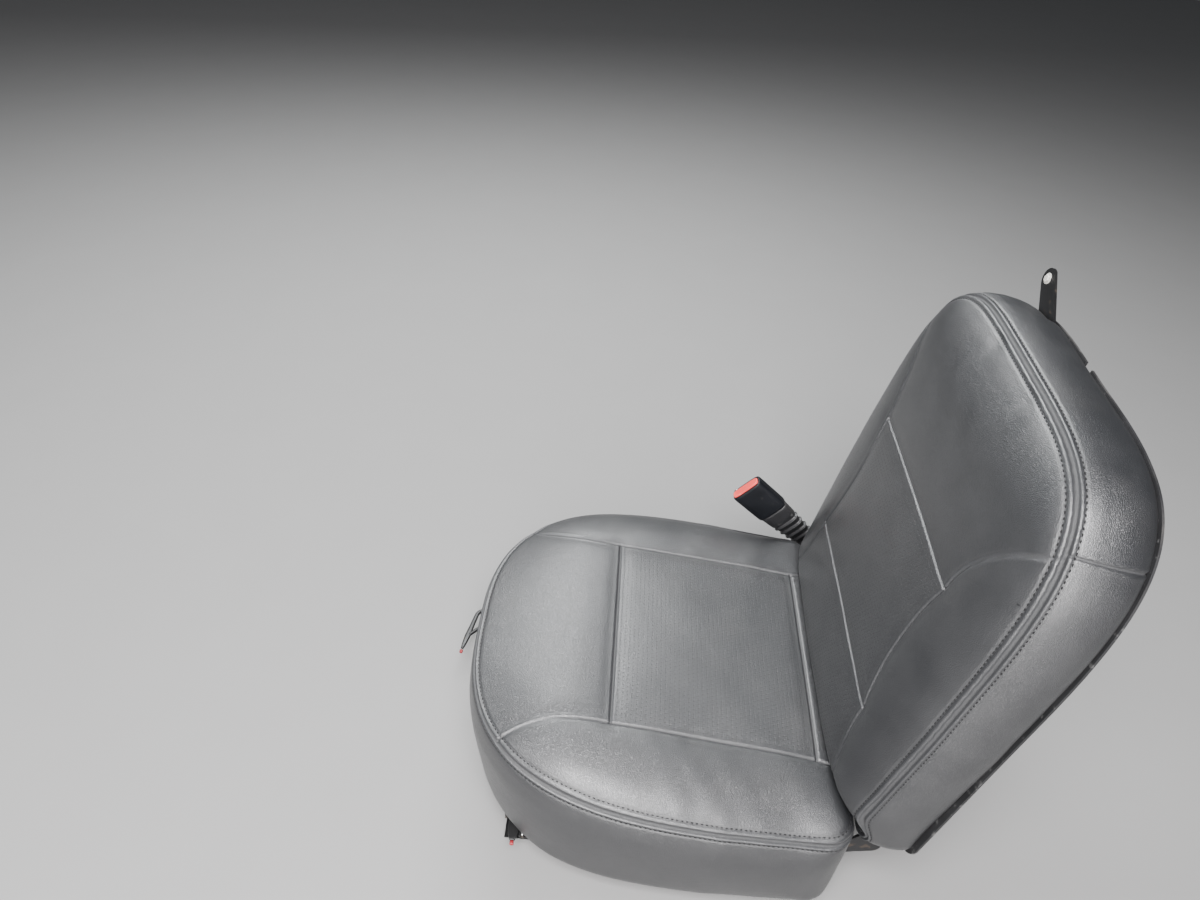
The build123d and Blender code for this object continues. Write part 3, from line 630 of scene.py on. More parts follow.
@dataclass
class Grid:
    """Places across and up a cover's face, where whole numbers are seam lines."""

    across: np.ndarray
    up: np.ndarray

    def numbers(self) -> np.ndarray:
        """Numbers of the face's points, with the shape of (up, across)."""
        rows, columns = len(self.up), len(self.across)
        return np.arange(rows * columns).reshape(rows, columns)

    def rim(self) -> np.ndarray:
        """Numbers of the face's edge points, counter-clockwise from its low left corner."""
        n = self.numbers()
        return np.concatenate([n[0, :-1], n[:-1, -1], n[-1, :0:-1], n[:0:-1, 0]])

    def rim_places(self) -> np.ndarray:
        """Place round the rim, from 0 to 12, of each of its points."""
        return np.concatenate([self.across[:-1], 3 + self.up[:-1],
                               9 - self.across[:0:-1], 12 - self.up[:0:-1]])

    @staticmethod
    def seams(places: np.ndarray) -> list[int]:
        """Which of the places are the whole numbers 0 to 3."""
        return [int(np.argmin(abs(places - n))) for n in range(4)]


@dataclass(frozen=True)
class Seam:
    """Section of a seam in millimetres, its rubbed lip with a painted highlight, and where it lies
    deep.

    The height is a low lip at each side, less a narrow groove and a wide dip, each of
    them bell-shaped.
    """

    groove: float
    groove_width: float
    lip: float
    lip_at: float
    lip_width: float
    dip: float = 0.0
    dip_width: float = 8.0
    rub_and_highlight: float = 0.0
    rub_and_highlight_at: float = 0.0
    rub_and_highlight_width: float = 1.0
    shade: float = 0.9
    shade_width: float = 0.8


# rub values: where a seam's lip is painted lighter, for rubbing and as a painted highlight
PRESSED_SEAM = Seam(1.9, 0.95, 0.45, 3.4, 1.6, dip=1.2, rub_and_highlight=0.6, rub_and_highlight_at=1.5, rub_and_highlight_width=0.6)
BOXING_SEAM = Seam(1.6, 1.0, 0.45, 3.4, 1.6)
RIM_SEAM = Seam(3.0, 0.85, 0.75, 2.6, 1.2, rub_and_highlight=0.6, rub_and_highlight_at=2.2, rub_and_highlight_width=0.8, shade=1.0,
                shade_width=0.9)
STITCH_LINE = Seam(0.9, 0.75, 0.12, 2.6, 2.2, shade=0.45, shade_width=0.7)


@dataclass
class Relief:
    """Height over a cover, how far it is rubbed and painted lighter as a highlight, and how far it
    lies in a groove.
    """

    height: np.ndarray
    rubbed_and_highlight: np.ndarray
    deep: np.ndarray

    def press(self, seam: Seam, away: np.ndarray) -> None:
        """Adds a seam.

        Args:
            seam: Its section.
            away: Distance of each of the cover's points from it.
        """
        self.height += (seam.lip * hump(away - seam.lip_at, seam.lip_width)
                        - seam.groove * hump(away, seam.groove_width)
                        - seam.dip * hump(away, seam.dip_width))
        # rubbed wear and a painted highlight on the seam's lip
        rubbed_and_highlight = seam.rub_and_highlight * hump(away - seam.rub_and_highlight_at, seam.rub_and_highlight_width)
        self.rubbed_and_highlight = np.maximum(self.rubbed_and_highlight, rubbed_and_highlight)
        self.deep = np.maximum(self.deep, seam.shade * hump(away, seam.shade_width))


@dataclass
class Sewn:
    """A cover's points, each one's plane place and its run from the rim seam, and quads."""

    points: np.ndarray
    plan: np.ndarray
    run: np.ndarray
    faces: np.ndarray
    rings: int


FAR = 60.0  # a distance at which no seam shows
HOLLOW_RUN = 400.0  # the run of the hollow's points
CLOTH = {
    "quality": 6, "mass": 0.25, "tension_stiffness": 22.0, "compression_stiffness": 12.0,
    "bending_stiffness": 0.6, "use_pressure": True, "uniform_pressure_force": 4.0,
}
CLOTH_FRAMES = 20


@dataclass
class Cover:
    """A sewn cover: a face of nine panels, a boxing round it and a hollow behind.

    Its sizes are in millimetres. A table of runs and shares tells how far a row lies
    from the rim seam, and at what share of the boxing's height.
    """

    name: str
    node: str
    seed: int = 3
    coarse: float = 3.6
    rough: float = 13.0
    seam_fine: tuple = (0.8, 1.6, 2.6, 4.0, 6.0, 9.0)
    band: float = 12.0
    band_steps: tuple = (9.0, 7.2, 5.8, 5.0, 4.2, 3.2, 2.3, 1.5, 0.8)
    seam_runs: tuple = (0.0, 0.8, 1.5, 2.3, 3.2, 4.2, 5.0, 5.8, 7.2, 9.0, 12.0, 16.0, 21.0,
                        27.0, 34.0, 42.0)
    boxing_runs: tuple = ()
    boxing_height: float = 100.0
    hem: tuple = (100.0, 0.9, 0.1)  # run and share where the turned-in hem starts, its rise
    hem_turn: tuple = ()
    hem_tuck: tuple = (120.0, 1.0, 10.0)
    hollow: tuple = ()  # shrink of the rim's plan, and share of the way to the ceiling
    floor_shrink: float = 0.93
    ceiling: float = 0.0
    roll_width: float = 84.0
    roll_powers: tuple = (2.4, 0.62)
    bows: tuple = (0.0, 0.0)
    seam_ends: tuple = ()
    boxing_seams: tuple = ()
    boxing_reach: float = 100.0
    folds: tuple = ()  # from x and y, to x and y, width and height
    fold_reach: float = 60.0
    crease: float = 0.30
    crease_size: float = 17.0
    crease_at: float = 11.0
    crease_width: float = 6.0
    slack: float = 0.40
    slack_size: float = 85.0
    slack_reach: float = 200.0
    pinned: float = 2.5
    puff_cap: float = 7.0
    stitch_offset: float = 5.8
    stitch_pitch: float = 5.4
    stitch_length: float = 3.5
    stitch_radius: float = 0.62

    @property
    def outline(self) -> Outline:
        """The seam line round the face, in the cover's own plane."""
        raise NotImplementedError

    @property
    def rolled_outline(self) -> Outline:
        """The line from which the face is rolled down."""
        return self.outline

    def keys(self) -> dict[str, tuple[float, float]]:
        """Named corner points of the panels on the right-hand side."""
        raise NotImplementedError

    def seam_curve(self, part: int, t: np.ndarray) -> np.ndarray:
        """The right-hand long seam over one of its three parts."""
        raise NotImplementedError

    def place(self, plan: np.ndarray, depth: float | np.ndarray) -> np.ndarray:
        """Points of the row frame, in millimetres, from plane places and heights."""
        raise NotImplementedError

    def top_height(self, plan: np.ndarray) -> np.ndarray:
        """Height over the plane that the face has away from its rim."""
        raise NotImplementedError

    def rim_height(self, plan: np.ndarray) -> np.ndarray:
        """Height of the seam round the face."""
        raise NotImplementedError

    def hem_height(self, plan: np.ndarray) -> np.ndarray:
        """Height of the boxing's far edge."""
        raise NotImplementedError

    def side_offset(self, plan: np.ndarray, share: float) -> np.ndarray:
        """How far the boxing stands outside the rim, at a share of its height."""
        raise NotImplementedError

    def punched(self, plan: np.ndarray) -> np.ndarray:
        """Which places lie in a punched panel."""
        raise NotImplementedError

    def roll_at(self, plan: np.ndarray) -> float | np.ndarray:
        """Width over which the face is rolled down to its rim."""
        return self.roll_width

    def face_height(self, plan: np.ndarray) -> np.ndarray:
        """The top, rolled down to the rim seam.

        With t the distance from the rim over the roll's width, the share of the height
        above the seam is 1 less (1 - t) to the first power, all to the second.

        Args:
            plan: Plane places, one row each.

        Returns:
            One height for each place.
        """
        t = np.clip(self.rolled_outline.distance(plan) / self.roll_at(plan), 0.0, 1.0)
        first, second = self.roll_powers
        low = self.rim_height(plan)
        return low + (self.top_height(plan) - low) * (1.0 - (1.0 - t) ** first) ** second

    def side_rows(self) -> list[tuple[float, float, float]]:
        """Rows below the rim: run from the seam, share of the boxing's height, inward tuck."""
        runs = self.seam_runs + self.boxing_runs
        rows = [(run, run / self.boxing_height, 0.0) for run in runs]
        start, share, rise = self.hem
        rows += [(start + 10.0 * t, share + rise * math.sin(t * math.pi / 2), 0.0)
                 for t in self.hem_turn]
        return rows + [self.hem_tuck]

    def seam_lines(self) -> list[np.ndarray]:
        """Both bolster seams, then the two cross seams, each bowed by a parabola."""
        t = np.linspace(0.0, 1.0, 24)
        curves = [self.seam_curve(part, t) for part in range(3)]
        right = np.vstack([self.seam_ends[0], *curves, self.seam_ends[1]])
        lines = [right, right * [-1, 1]]
        x = np.linspace(-1.0, 1.0, 24)
        for name, bow in zip(("cross_low", "cross_high"), self.bows):
            half, level = self.keys()[name]
            lines.append(np.stack([half * x, level + bow * (1 - x * x)], axis=1))
        return lines

    def make_grid(self, coarse: float, fine: tuple) -> Grid:
        """Places across and up for the nine panels.

        Args:
            coarse: Even step between lines in millimetres.
            fine: Distances from the seams of the close lines.

        Returns:
            The grid.
        """
        k = self.keys()
        side = k["right_low"][0] - k["cross_low"][0]
        widths = (side, 2.0 * k["cross_low"][0], side)
        levels = [k[name][1] for name in ("low", "cross_low", "cross_high", "high")]
        heights = [abs(b - a) for a, b in zip(levels, levels[1:])]
        across, up = (
            np.unique(np.concatenate([n + graded(w, coarse, fine) for n, w in enumerate(sizes)]))
            for sizes in (widths, heights))
        return Grid(across, up)

    def rim_shares(self, grid: Grid) -> np.ndarray:
        """Share of the outline's length at each point round the face's edge."""
        keys = self.keys()

        def edge(names: str, places: np.ndarray) -> np.ndarray:
            """Shares at places 0 to 3 between four named points; a minus mirrors a point."""
            stops: list[float] = []
            for name in names.split():
                x, y = keys[name.lstrip("-")]
                share = self.outline.nearest(-x if name[0] == "-" else x, y)
                while stops and share < stops[-1]:
                    share += 1.0
                stops.append(share)
            return np.interp(places, np.arange(4), stops)[:-1]

        return np.concatenate([
            edge("-corner_low -low low corner_low", grid.across),
            edge("corner_low right_low right_high corner_high", grid.up),
            edge("corner_high high -high -corner_high", 3.0 - grid.across[::-1]),
            edge("-corner_high -right_high -right_low -corner_low", 3.0 - grid.up[::-1]),
        ])

    def face_plan(self, grid: Grid, shares: np.ndarray) -> np.ndarray:
        """Plane places of the face's points, panel by panel.

        The edge follows the rim, the long seams follow their curves and are drawn to
        the edge at both ends, the cross seams run between them, and a patch fills each
        panel.

        Args:
            grid: Places across and up.
            shares: Shares of the outline round the face's edge.

        Returns:
            Places with the shape of (up, across, 2).
        """
        plan = np.zeros((len(grid.up), len(grid.across), 2))
        plan.reshape(-1, 2)[grid.rim()] = self.outline.at(shares, -self.band)
        u, v = grid.seams(grid.across), grid.seams(grid.up)
        for part in range(3):
            rows = slice(v[part], v[part + 1] + 1)
            t = grid.up[rows] - part
            line = self.seam_curve(part, t)
            if part == 0:
                line += (1 - t)[:, None] * (plan[0, u[2]] - line[0])
            if part == 2:
                line += t[:, None] * (plan[-1, u[2]] - line[-1])
            plan[rows, u[2]] = line
            plan[rows, u[1]] = line * [-1, 1]
        for row in v[1:3]:
            for a, b in zip(u, u[1:]):
                s = (grid.across[a:b + 1] - grid.across[a])[:, None]
                plan[row, a:b + 1] = (1 - s) * plan[row, a] + s * plan[row, b]
        middle = slice(u[1], u[2] + 1)
        x = 2.0 * (grid.across[middle] - grid.across[u[1]]) - 1.0
        for row, bow in zip(v[1:3], self.bows):
            plan[row, middle, 1] += bow * (1 - x * x)
        for v0, v1 in zip(v, v[1:]):
            for u0, u1 in zip(u, u[1:]):
                rows, columns = slice(v0, v1 + 1), slice(u0, u1 + 1)
                plan[rows, columns] = patch(
                    plan[v0, columns].copy(), plan[v1, columns].copy(),
                    plan[rows, u0].copy(), plan[rows, u1].copy(),
                    grid.across[columns] - grid.across[u0], grid.up[rows] - grid.up[v0])
        return plan

    def sew(self, grid: Grid) -> Sewn:
        """The cover before it is puffed up.

        Args:
            grid: Places across and up the face.

        Returns:
            The face, then the rings round it and down the boxing, then the hollow.
        """
        shares = self.rim_shares(grid)
        face = self.face_plan(grid, shares).reshape(-1, 2)
        rim = self.outline.at(shares)
        low, hem, middle = self.rim_height(rim), self.hem_height(rim), rim.mean(axis=0)
        points, plans, runs = [], [], []

        def add(plan: np.ndarray, shown: np.ndarray, height: np.ndarray, run: float) -> None:
            """Adds points at places and heights, with what the finish reads of them."""
            points.append(self.place(shown, height))
            plans.append(plan)
            runs.append(np.full(len(plan), run))

        add(face, face, self.face_height(face), -self.band)
        for inset in self.band_steps:
            ring = self.outline.at(shares, -inset)
            add(ring, ring, self.face_height(ring), -inset)
        for run, share, tuck in self.side_rows():
            ring = self.outline.at(shares, self.side_offset(rim, share) - tuck)
            add(rim, ring, low + (hem - low) * share, run)
        for shrink, share in self.hollow:
            ring = middle + (rim - middle) * shrink
            add(ring, ring, hem + (self.ceiling - hem) * share, HOLLOW_RUN)
        floor = middle + (face - middle) * self.hollow[-1][0] * self.floor_shrink
        add(floor, floor, np.full(len(floor), self.ceiling), HOLLOW_RUN)
        rings = len(points) - 2
        return Sewn(np.concatenate(points), np.concatenate(plans), np.concatenate(runs),
                    self.build_faces(grid, rings), rings)

    @staticmethod
    def build_faces(grid: Grid, rings: int) -> np.ndarray:
        """Quads of the face, the rings and the hollow's floor, all facing outwards."""
        n, rim = grid.numbers(), grid.rim()
        quads = np.stack([n[:-1, :-1], n[:-1, 1:], n[1:, 1:], n[1:, :-1]], axis=-1).reshape(-1, 4)
        between = n.size + np.arange(rings * len(rim)).reshape(rings, len(rim))
        floor = n.size + between.size
        sides = ring_quads(np.vstack([rim, between, rim + floor]))[:, [0, 3, 2, 1]]
        return np.concatenate([quads, sides, quads[:, ::-1] + floor])

    def puff(self, grid: Grid) -> tuple[np.ndarray, np.ndarray]:
        """Simulates the filled cover on a coarse copy of its grid.

        The coarse copy is blown up by inner pressure, held along its seams and below its
        hem. Each point's move is capped, and the face's moves are evened out three
        times: half their own and an eighth of each neighbour's.

        Args:
            grid: The coarse grid.

        Returns:
            The moves of the face, with the shape of (up, across, 3), and of the rings.
        """
        sewn, numbers = self.sew(grid), grid.numbers()
        on_line = np.zeros(numbers.shape, bool)
        for n in (1, 2):
            on_line[:, grid.seams(grid.across)[n]] = True
            on_line[grid.seams(grid.up)[n], (grid.across >= 1) & (grid.across <= 2)] = True
        held = (abs(sewn.run) < self.pinned) | (sewn.run > self.side_rows()[-4][0])
        held[:numbers.size] |= on_line.ravel()
        obj = new_object(self.name + "_rough", sewn.points * MM, sewn.faces)
        obj.vertex_groups.new(name="held").add(np.flatnonzero(held).tolist(), 1.0, "REPLACE")
        cloth = obj.modifiers.new("Cloth", "CLOTH")
        for setting, value in CLOTH.items():
            setattr(cloth.settings, setting, value)
        cloth.settings.vertex_group_mass = "held"
        cloth.settings.effector_weights.gravity = 0.0
        cloth.point_cache.frame_start, cloth.point_cache.frame_end = 1, CLOTH_FRAMES
        for number in range(1, CLOTH_FRAMES + 1):
            bpy.context.scene.frame_set(number)
        shown = obj.evaluated_get(bpy.context.evaluated_depsgraph_get())
        after = np.empty(sewn.points.size, np.float32)
        shown.data.vertices.foreach_get("co", after)
        move = after.reshape(-1, 3).astype(float) / MM - sewn.points
        size = np.linalg.norm(move, axis=1)[:, None]
        move *= np.tanh(size / self.puff_cap) * self.puff_cap / np.maximum(size, TINY)
        log.info("%s puffed by up to %.1f mm", self.name, np.linalg.norm(move, axis=1).max())
        mesh = obj.data
        bpy.data.objects.remove(obj)
        bpy.data.meshes.remove(mesh)
        bpy.context.scene.frame_set(1)
        face = move[:numbers.size].reshape(*numbers.shape, 3)
        for _ in range(3):
            around = face[:-2, 1:-1] + face[2:, 1:-1] + face[1:-1, :-2] + face[1:-1, 2:]
            face[1:-1, 1:-1] = 0.5 * face[1:-1, 1:-1] + 0.125 * around
        face[on_line] = 0.0
        rings = move[numbers.size:-numbers.size].reshape(sewn.rings, -1, 3)
        return face, rings

    def spread_puff(self, rough: Grid, face: np.ndarray, rings: np.ndarray,
                    grid: Grid) -> np.ndarray:
        """Carries the rough copy's moves to the close grid, straight between its lines.

        Args:
            rough: The coarse grid.
            face: The moves of its face.
            rings: The moves of its rings.
            grid: The close grid.

        Returns:
            One move for each point of the close cover, in millimetres.
        """
        def along(values: np.ndarray, old: np.ndarray, new: np.ndarray) -> np.ndarray:
            """Values on new places of the first axis, straight between the old places."""
            place = np.interp(new, old, np.arange(len(old)))
            low = np.minimum(np.floor(place).astype(int), len(old) - 2)
            part = (place - low).reshape((-1,) + (1,) * (values.ndim - 1))
            return values[low] * (1 - part) + values[low + 1] * part

        face = along(face, rough.up, grid.up).transpose(1, 0, 2)
        face = along(face, rough.across, grid.across).transpose(1, 0, 2)
        old, new = np.append(rough.rim_places(), 12.0), grid.rim_places()
        moves = [along(np.vstack([ring, ring[:1]]), old, new) for ring in rings]
        return np.concatenate([face.reshape(-1, 3), *moves, np.zeros((grid.numbers().size, 3))])

    def relief(self, sewn: Sewn) -> Relief:
        """Seams, folds and small creases over the puffed cover.

        The creases lie beside the last fold, or else round the last boxing seam's end.

        Args:
            sewn: The cover.

        Returns:
            The height along the normal, and the marks that the finish reads.
        """
        run, plan, outline = sewn.run, sewn.plan, self.outline
        relief = Relief(*np.zeros((3, len(run))))
        for line in self.seam_lines():
            relief.press(PRESSED_SEAM, np.where(run <= 0.0, distance_to_line(plan, line), FAR))
        away = np.where(run <= -self.band, outline.distance(plan), abs(run))
        relief.press(RIM_SEAM, away)
        relief.press(STITCH_LINE, away - self.stitch_offset)
        on_boxing = (run > 0.0) & (run < self.boxing_reach)
        for place in self.boxing_seams:
            point = outline.at(np.array([outline.nearest(*place)]))[0]
            away = np.where(on_boxing, np.hypot(*(plan - point).T), FAR)
            relief.press(BOXING_SEAM, away)
        near = run < self.fold_reach
        for x0, y0, x1, y1, width, rise in self.folds:
            away = distance_to_line(plan, np.array([[x0, y0], [x1, y1]]))
            relief.height += rise * hump(away, width) * near
        creases = soft_noise(sewn.points, self.crease_size, self.seed)
        slack = soft_noise(sewn.points, self.slack_size, self.seed + 1)
        beside = hump(away - self.crease_at, self.crease_width)
        relief.height += self.crease * creases * beside * near
        relief.height += self.slack * slack * (run < self.slack_reach)
        return relief

    def build(self) -> bpy.types.Object:
        """The cover as one closed padded piece, with its stitches as another."""
        grid = self.make_grid(self.coarse, self.seam_fine)
        sewn = self.sew(grid)
        rough = self.make_grid(self.rough, ())
        sewn.points += self.spread_puff(rough, *self.puff(rough), grid)
        relief = self.relief(sewn)
        sewn.points += mesh_normals(sewn.points, sewn.faces) * relief.height[:, None]
        cover = new_object(self.name, sewn.points * MM, sewn.faces)
        equip(cover, Finish.VINYL, SEAT, self.node, inner=Finish.UNDERSIDE)
        hidden = (sewn.run[sewn.faces] == HOLLOW_RUN).all(axis=1)
        cover.data.polygons.foreach_set("material_index", hidden.astype(np.int32))
        set_attribute(cover, "area", self.punched(sewn.plan) * (sewn.run <= -self.band))
        # line holds where the seams' lips are painted lighter: rubbing and a painted highlight
        set_attribute(cover, "line", relief.rubbed_and_highlight)
        set_attribute(cover, "deep", relief.deep)
        layer = cover.data.uv_layers.new(name="Sewn")
        corners = sewn.plan[sewn.faces.ravel()] * MM
        layer.data.foreach_set("uv", corners.astype(np.float32).ravel())
        log.info("%s: %d faces", self.name, len(sewn.faces))
        self.build_stitches(grid, sewn)
        return cover

    def build_stitches(self, grid: Grid, sewn: Sewn) -> bpy.types.Object:
        """Two rows of thread beside the rim seam, each stitch a small bent capsule."""
        normals = mesh_normals(sewn.points, sewn.faces)
        face, rim = grid.numbers().size, len(grid.rim())
        runs = sewn.run[face:-face:rim]
        points, faces, total = [], [], 0
        for want in (-self.stitch_offset, self.stitch_offset):
            start = face + int(np.argmin(abs(runs - want))) * rim
            path, normal = sewn.points[start:start + rim], normals[start:start + rim]
            row, quads = stitch_row(path, normal, self.stitch_pitch, self.stitch_length,
                                    self.stitch_radius)
            points.append(row)
            faces.append(quads + total)
            total += len(row)
        thread = new_object(self.name + "_stitches", np.concatenate(points) * MM,
                            np.concatenate(faces))
        log.info("%s: %d faces", thread.name, len(thread.data.polygons))
        return equip(thread, Finish.THREAD, SEAT)


def stitch_row(path: np.ndarray, normal: np.ndarray, pitch: float, length: float,
               radius: float) -> tuple[np.ndarray, np.ndarray]:
    """Stitches along a closed path on a surface.

    Each stitch is a six-sided capsule of five rings: its radius follows a half ellipse
    and its middle lifts off the surface by a parabola.

    Args:
        path: Points of the closed path in millimetres.
        normal: The surface's normals at those points.
        pitch: Distance from one stitch to the next.
        length: Length of one stitch.
        radius: Radius of the thread.

    Returns:
        The stitches' points and quads.
    """
    loop, loop_normal = (np.vstack([rows, rows[:1]]) for rows in (path, normal))
    run = run_of(loop)
    count = int(run[-1] / pitch)
    middle = (np.arange(count) + 0.5) * run[-1] / count
    stations = np.linspace(-1.0, 1.0, 5)
    places = (middle[:, None] + stations[None] * 0.5 * length) % run[-1]
    centre, up = read_off(places, run, loop), read_off(places, run, loop_normal)
    before, behind = (read_off((middle + d) % run[-1], run, loop) for d in (0.5, -0.5))
    side = unit(np.cross(unit(before - behind)[:, None], up))
    lift = radius * (0.75 - 1.1 * stations ** 2)
    size = radius * np.sqrt(np.clip(1.02 - stations ** 2, 0.02, 1.0))
    turn = np.linspace(0.0, 2.0 * np.pi, 6, endpoint=False)
    centre = centre + up * lift[None, :, None]
    points = (centre[:, :, None]
              + side[:, :, None] * (np.cos(turn)[:, None] * size[None, :, None, None])
              + up[:, :, None] * (np.sin(turn)[:, None] * size[None, :, None, None]))
    number = np.arange(count * 5 * 6).reshape(count, 5, 6)
    first, last = number[:, 0], number[:, -1]
    ends = [first[:, [3, 2, 1, 0]], first[:, [5, 4, 3, 0]],
            last[:, [0, 1, 2, 3]], last[:, [0, 3, 4, 5]]]
    return points.reshape(-1, 3), np.concatenate([ring_quads(number), *ends])


@dataclass
class Cushion(Cover):
    """The cushion's cover, in a plane that looks down on it: X across and Y to the rear."""

    name: str = "cushion_cover"
    node: str = "cushion_pad"
    half_width: float = 243.0
    front_y: float = -253.0
    round_y: float = 50.0
    rear_y: float = 197.0
    front_power: float = 2.8
    rear_corner: float = 34.0
    rear_taper: float = 5.0
    top_rear_z: float = 185.0
    top_tilt: float = 0.1175
    front_dip: float = 26.0
    crown: float = 3.0
    seam_z: float = 176.0
    seam_climb: float = 0.087
    hem_z: float = 38.0
    hem_climb: float = 0.03
    ceiling: float = 103.5
    panel_half: float = 143.0
    panel_rear_half: float = 146.0
    panel_front_y: float = -82.0
    panel_rear_y: float = 159.0
    flare: float = 31.0
    flare_power: float = 2.8
    roll_width: float = 86.0
    rear_roll_width: float = 34.0
    boxing_height: float = 140.0
    boxing_runs: tuple = (51.0, 61.0, 72.0, 84.0, 96.0, 107.0, 118.0, 126.0)
    hem: tuple = (126.0, 0.90, 0.1)
    hem_turn: tuple = (0.3, 0.55, 0.8, 1.0)
    hem_tuck: tuple = (150.0, 0.995, 11.0)
    hollow: tuple = ((0.88, 0.02), (0.872, 0.3), (0.868, 0.65), (0.865, 1.0))
    seam_ends: tuple = ((176.0, -220.0), (151.0, 197.0))
    # share of the height below the seam, and the offsets at the side, in front and behind
    bulge: tuple = (
        (0.0, 0.0, 0.0, 0.0), (0.03, 2.0, 1.4, 0.3), (0.10, 5.0, 3.6, 0.6), (0.26, 7.2, 5.6, 0.8),
        (0.45, 6.6, 3.4, 0.6), (0.62, 4.6, 0.2, 0.2), (0.80, 1.8, -4.0, -0.6),
        (0.90, 0.4, -6.5, -1.2), (0.96, -0.8, -8.4, -2.0), (1.0, -4.6, -12.4, -6.0),
    )
    folds: tuple = (
        (150.0, -40.0, 226.0, -2.0, 11.0, 0.75), (156.0, -8.0, 232.0, 44.0, 9.5, 0.65),
        (170.0, 46.0, 236.0, 92.0, 9.5, 0.5), (152.0, 120.0, 226.0, 150.0, 11.0, 0.6),
        (118.0, -150.0, 190.0, -196.0, 12.0, 0.5), (-150.0, 96.0, -226.0, 132.0, 10.0, 0.6),
        (-152.0, 20.0, -230.0, 54.0, 11.0, 0.45),
    )

    @cached_property
    def outline(self) -> Outline:
        """Seen from above: a superellipse in front, straight sides and a square rear.

        In front of round_y the sum of the powers of x over the half width and of y over
        the front's reach is 1, and behind it the corners are quarter circles.
        """
        angle, turn = (np.linspace(0.0, np.pi / 2, count) for count in (700, 60))
        power = 2.0 / self.front_power
        x = self.half_width * np.sin(angle) ** power
        y = self.round_y - (self.round_y - self.front_y) * np.cos(angle) ** power
        corner_x = self.half_width - self.rear_taper - self.rear_corner * (1 - np.cos(turn))
        corner_y = self.rear_y - self.rear_corner * (1 - np.sin(turn))
        half = np.stack([np.append(x, corner_x), np.append(y, corner_y)], axis=1)
        mirrored = half[::-1] * [-1, 1]
        return Outline(np.concatenate([half, mirrored[:-1]]))

    def keys(self) -> dict[str, tuple[float, float]]:
        """Panel corners on the door side."""
        return {
            "low": (174.0, -216.0), "corner_low": (216.0, -160.0), "right_low": (238.0, -88.0),
            "right_high": (239.0, 146.0), "corner_high": (226.0, 188.0),
            "high": (150.0, self.rear_y), "cross_low": (self.panel_half, self.panel_front_y),
            "cross_high": (self.panel_rear_half, self.panel_rear_y),
        }

    def seam_curve(self, part: int, t: np.ndarray) -> np.ndarray:
        """The bolster seam: straight beside the panel, bending outwards ahead of it."""
        start = (self.keys()["low"][1], self.panel_front_y, self.panel_rear_y)[part]
        end = (self.panel_front_y, self.panel_rear_y, self.rear_y - self.band)[part]
        x = (self.panel_half + self.flare * (1 - t) ** self.flare_power,
             self.panel_half + (self.panel_rear_half - self.panel_half) * t,
             self.panel_rear_half + (self.keys()["high"][0] - self.panel_rear_half) * t)[part]
        return np.stack([x, start + (end - start) * t], axis=1)

    def place(self, plan: np.ndarray, depth: float | np.ndarray) -> np.ndarray:
        """The plane looks down, so a height is the row frame's Z."""
        return np.column_stack([plan, depth])

    def top_height(self, plan: np.ndarray) -> np.ndarray:
        """A tilted plane, lowered at the front and slightly crowned."""
        x, y = plan.T
        plane = self.top_rear_z + (self.panel_rear_y - y) * self.top_tilt
        crown = self.crown * np.cos(np.clip(x / self.half_width, -1, 1) * np.pi / 2)
        return plane - self.front_dip * smoothstep(-120.0, -262.0, y) + crown

    def roll_at(self, plan: np.ndarray) -> np.ndarray:
        """The roll is narrow along the rear edge."""
        change = self.rear_roll_width - self.roll_width
        return self.roll_width + change * smoothstep(120.0, 190.0, plan[:, 1])

    def rim_height(self, plan: np.ndarray) -> np.ndarray:
        """The seam climbs evenly to the front."""
        return self.seam_z - self.seam_climb * plan[:, 1]

    def hem_height(self, plan: np.ndarray) -> np.ndarray:
        """The hem climbs a little to the front, and lies over the fittings at the rear."""
        x, y = abs(plan[:, 0]), plan[:, 1]
        over = smoothstep(184.0, 191.0, y) * (1.0 - smoothstep(204.0, 214.0, x))
        low = self.hem_z - self.hem_climb * y
        return low + (self.ceiling - 0.5 - low) * over

    def side_offset(self, plan: np.ndarray, share: float) -> np.ndarray:
        """A bulge below the seam, less in front and none behind, then the turned-in hem."""
        table = np.array(self.bulge)
        side, ahead, behind = (np.interp(share, table[:, 0], table[:, k]) for k in (1, 2, 3))
        y = plan[:, 1]
        front, rear = smoothstep(-130.0, -225.0, y), smoothstep(150.0, 192.0, y)
        return side * (1 - front) * (1 - rear) + ahead * front + behind * rear

    def punched(self, plan: np.ndarray) -> np.ndarray:
        """The centre panel, nearly up to its seams."""
        x, y = abs(plan[:, 0]), plan[:, 1]
        return ((x < self.panel_half - 4.0) & (y > self.panel_front_y + 5.0)
                & (y < self.panel_rear_y - 5.0))


